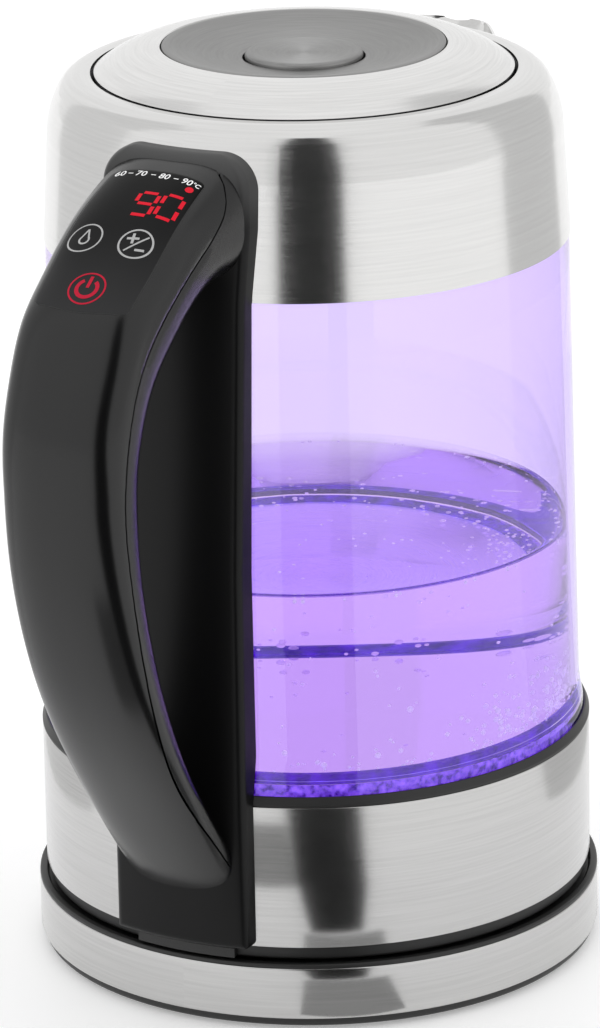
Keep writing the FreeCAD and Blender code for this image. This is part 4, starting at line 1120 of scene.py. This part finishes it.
def build_display():
    height, stroke, lean = 9.0, 1.1, -0.05
    figures = digit_figures("9", 0.3, 9.6, 5.5, height, stroke, lean)
    figures += digit_figures("0", 7.4, 9.0, 5.3, height, stroke, lean)
    decal("display_figures", *joined(figures), RED_LIGHT)


def build_drop_button():
    x, y = -7.8, 28.5
    decal("drop_ring", *ring_figure((x, y), 4.45, 4.9), GREY_INK)
    drop = ring_figure((x, y + 0.7), 1.05, 1.6, 40, -225, 45)
    tip, left, right = (x, y - 2.9), (x - 0.98, y - 0.25), (x + 0.98, y - 0.25)
    decal("drop_mark", *joined([drop, bar_figure(left, tip, 0.5), bar_figure(right, tip, 0.5)]),
          GREY_INK)


def build_step_button():
    x, y = 7.1, 28.4
    decal("step_ring", *ring_figure((x, y), 4.4, 4.95), GREY_INK)
    decal("step_marks", *joined([
        bar_figure((x - 3.1, y - 1.2), (x + 0.3, y - 1.8), 0.75),
        bar_figure((x - 1.7, y - 3.2), (x - 1.1, y + 0.2), 0.75),
        bar_figure((x + 0.5, y + 2.0), (x + 3.1, y + 1.5), 0.75),
        bar_figure((x - 2.4, y + 2.9), (x + 2.7, y - 3.0), 0.5)]), GREY_INK)


def build_power_button():
    x, y = 0.4, 45.1
    decal("power_ring", *ring_figure((x, y), 4.75, 5.25), DIM_RED)
    decal("power_mark", *joined([
        ring_figure((x, y), 2.3, 3.4, 40, 125, 415),
        bar_figure((x, y - 4.0), (x, y - 0.2), 0.95)]), DIM_RED)


# ---- studio


CAMERA_AZIMUTH = 208.3
CARDS_TURN = 1.5


def build_studio():
    scene = bpy.context.scene
    scene.view_settings.view_transform = "Standard"
    world = bpy.data.worlds.new("studio")
    scene.world = world
    world.use_nodes = True
    background = world.node_tree.nodes["Background"]
    background.inputs["Color"].default_value = (1, 1, 1, 1)
    background.inputs["Strength"].default_value = 1.0
    mesh = bpy.data.meshes.new("floor")
    reach = 6.0
    corners = [(-reach, -reach, 0), (reach, -reach, 0), (reach, reach, 0), (-reach, reach, 0)]
    mesh.from_pydata(corners, [], [(0, 1, 2, 3)])
    mat, _, _, shader = material("pale_floor")
    shader.inputs["Base Color"].default_value = (0.82, 0.82, 0.82, 1)
    shader.inputs["Roughness"].default_value = 0.55
    shader.inputs["Emission Color"].default_value = (1, 1, 1, 1)
    shader.inputs["Emission Strength"].default_value = 0.3
    mesh.materials.append(mat)
    floor = placed("floor", mesh)


def flag(name, corners, radiance):
    """A dull card that the shiny parts reflect; the camera and the shadows don't see it.
    A corner is (degrees from the cards' middle, distance from the kettle, height) in metres."""
    points = []
    for turn, distance, height in corners:
        way = math.radians(CAMERA_AZIMUTH + CARDS_TURN + turn)
        points.append((distance * math.cos(way), distance * math.sin(way), height))
    mesh = bpy.data.meshes.new(name)
    mesh.from_pydata(points, [], [tuple(range(len(points)))])
    mat, _, _, shader = material(name)
    shader.inputs["Base Color"].default_value = (0, 0, 0, 1)
    shader.inputs["Specular IOR Level"].default_value = 0
    shader.inputs["Emission Color"].default_value = (1, 1, 1, 1)
    shader.inputs["Emission Strength"].default_value = radiance
    mesh.materials.append(mat)
    card = placed(name, mesh)
    card.visible_camera = False
    card.visible_diffuse = False
    card.visible_shadow = False
    card.visible_transmission = False


def build_flags():
    """A black card behind the camera that runs on over the floor, two grey ones on the floor
    beside and under its near end, and a pale pair, upright and on the floor, at each side."""
    half, far, low, above_low = 14, 2.3, 0.001, 0.002
    black, grey = 0.02, 0.35
    flag("black_upright", [(-half, far, low), (half, far, low), (half, far, 6),
                           (-half, far, 6)], black)
    flag("black_floor", [(-half, far, low), (-half, 0.5, low), (-8, 0.17, low), (-4, 0.125, low),
                         (11, 0.125, low), (14, 0.17, low), (half, 0.5, low),
                         (half, far, low)], black)
    for name, side, radiance in (("right", 1, 0.7), ("left", -1, 0.8)):
        first, last = side * 92, side * 138
        flag(name + "_side", [(first, far, low), (last, far, low), (last, far, 4),
                              (first, far, 4)], radiance)
        flag(name + "_floor", [(first, 0.2, low), (first, far, low), (last, far, low),
                               (last, 0.2, low)], radiance)
    flag("grey_floor", [(-8, 0.17, above_low), (-30, 0.17, above_low), (-30, 0.3, above_low),
                        (-13, 0.3, above_low)], grey)
    flag("grey_near", [(-6, 0.086, low), (-6, 0.124, low), (17, 0.124, low),
                       (17, 0.086, low)], grey)


CAMERA_DISTANCE = 1.5317
CAMERA_HEIGHT = 0.6356
CAMERA_PITCH = 18.47
CAMERA_ROLL = 1.05


def build_camera():
    data = bpy.data.cameras.new("camera")
    data.sensor_width = 36
    data.lens = 203.43
    data.shift_x = -0.0119
    data.shift_y = -0.0061
    data.clip_start = 0.05
    data.clip_end = 50
    camera = placed("camera", data)
    way = math.radians(CAMERA_AZIMUTH)
    pitch, roll = math.radians(CAMERA_PITCH), math.radians(CAMERA_ROLL)
    level = Vector((-math.cos(way), -math.sin(way), 0))
    forward = level * math.cos(pitch) + Vector((0, 0, -math.sin(pitch)))
    right = level.cross(Vector((0, 0, 1))).normalized()
    up = right.cross(forward).normalized()
    tilted_up = up * math.cos(roll) + right * math.sin(roll)
    tilted_right = right * math.cos(roll) - up * math.sin(roll)
    frame_axes = Matrix((tilted_right, tilted_up, -forward)).transposed().to_4x4()
    home = Vector((CAMERA_DISTANCE * math.cos(way), CAMERA_DISTANCE * math.sin(way),
                   CAMERA_HEIGHT))
    camera.matrix_world = Matrix.Translation(home) @ frame_axes
    bpy.context.scene.camera = camera


def main():
    build_camera()
    build_studio()
    build_flags()
    dress_cad_nodes()
    build_base()
    steel_band("lower_band", "lower_steel_band", "jug", 0.35)
    build_retainer()
    build_glass()
    build_heater()
    build_seal_lip()
    build_water()
    build_bubbles()
    build_lid()
    build_button_spring()
    build_spine()
    handle_strip("handle_outer", False, ["handle_outer_shell"])
    handle_strip("handle_inner", True, ["handle_inner_shell"])
    build_panel()
    build_panel_gap()
    build_panel_marks()
    build_display()
    build_drop_button()
    build_step_button()
    build_power_button()


main()
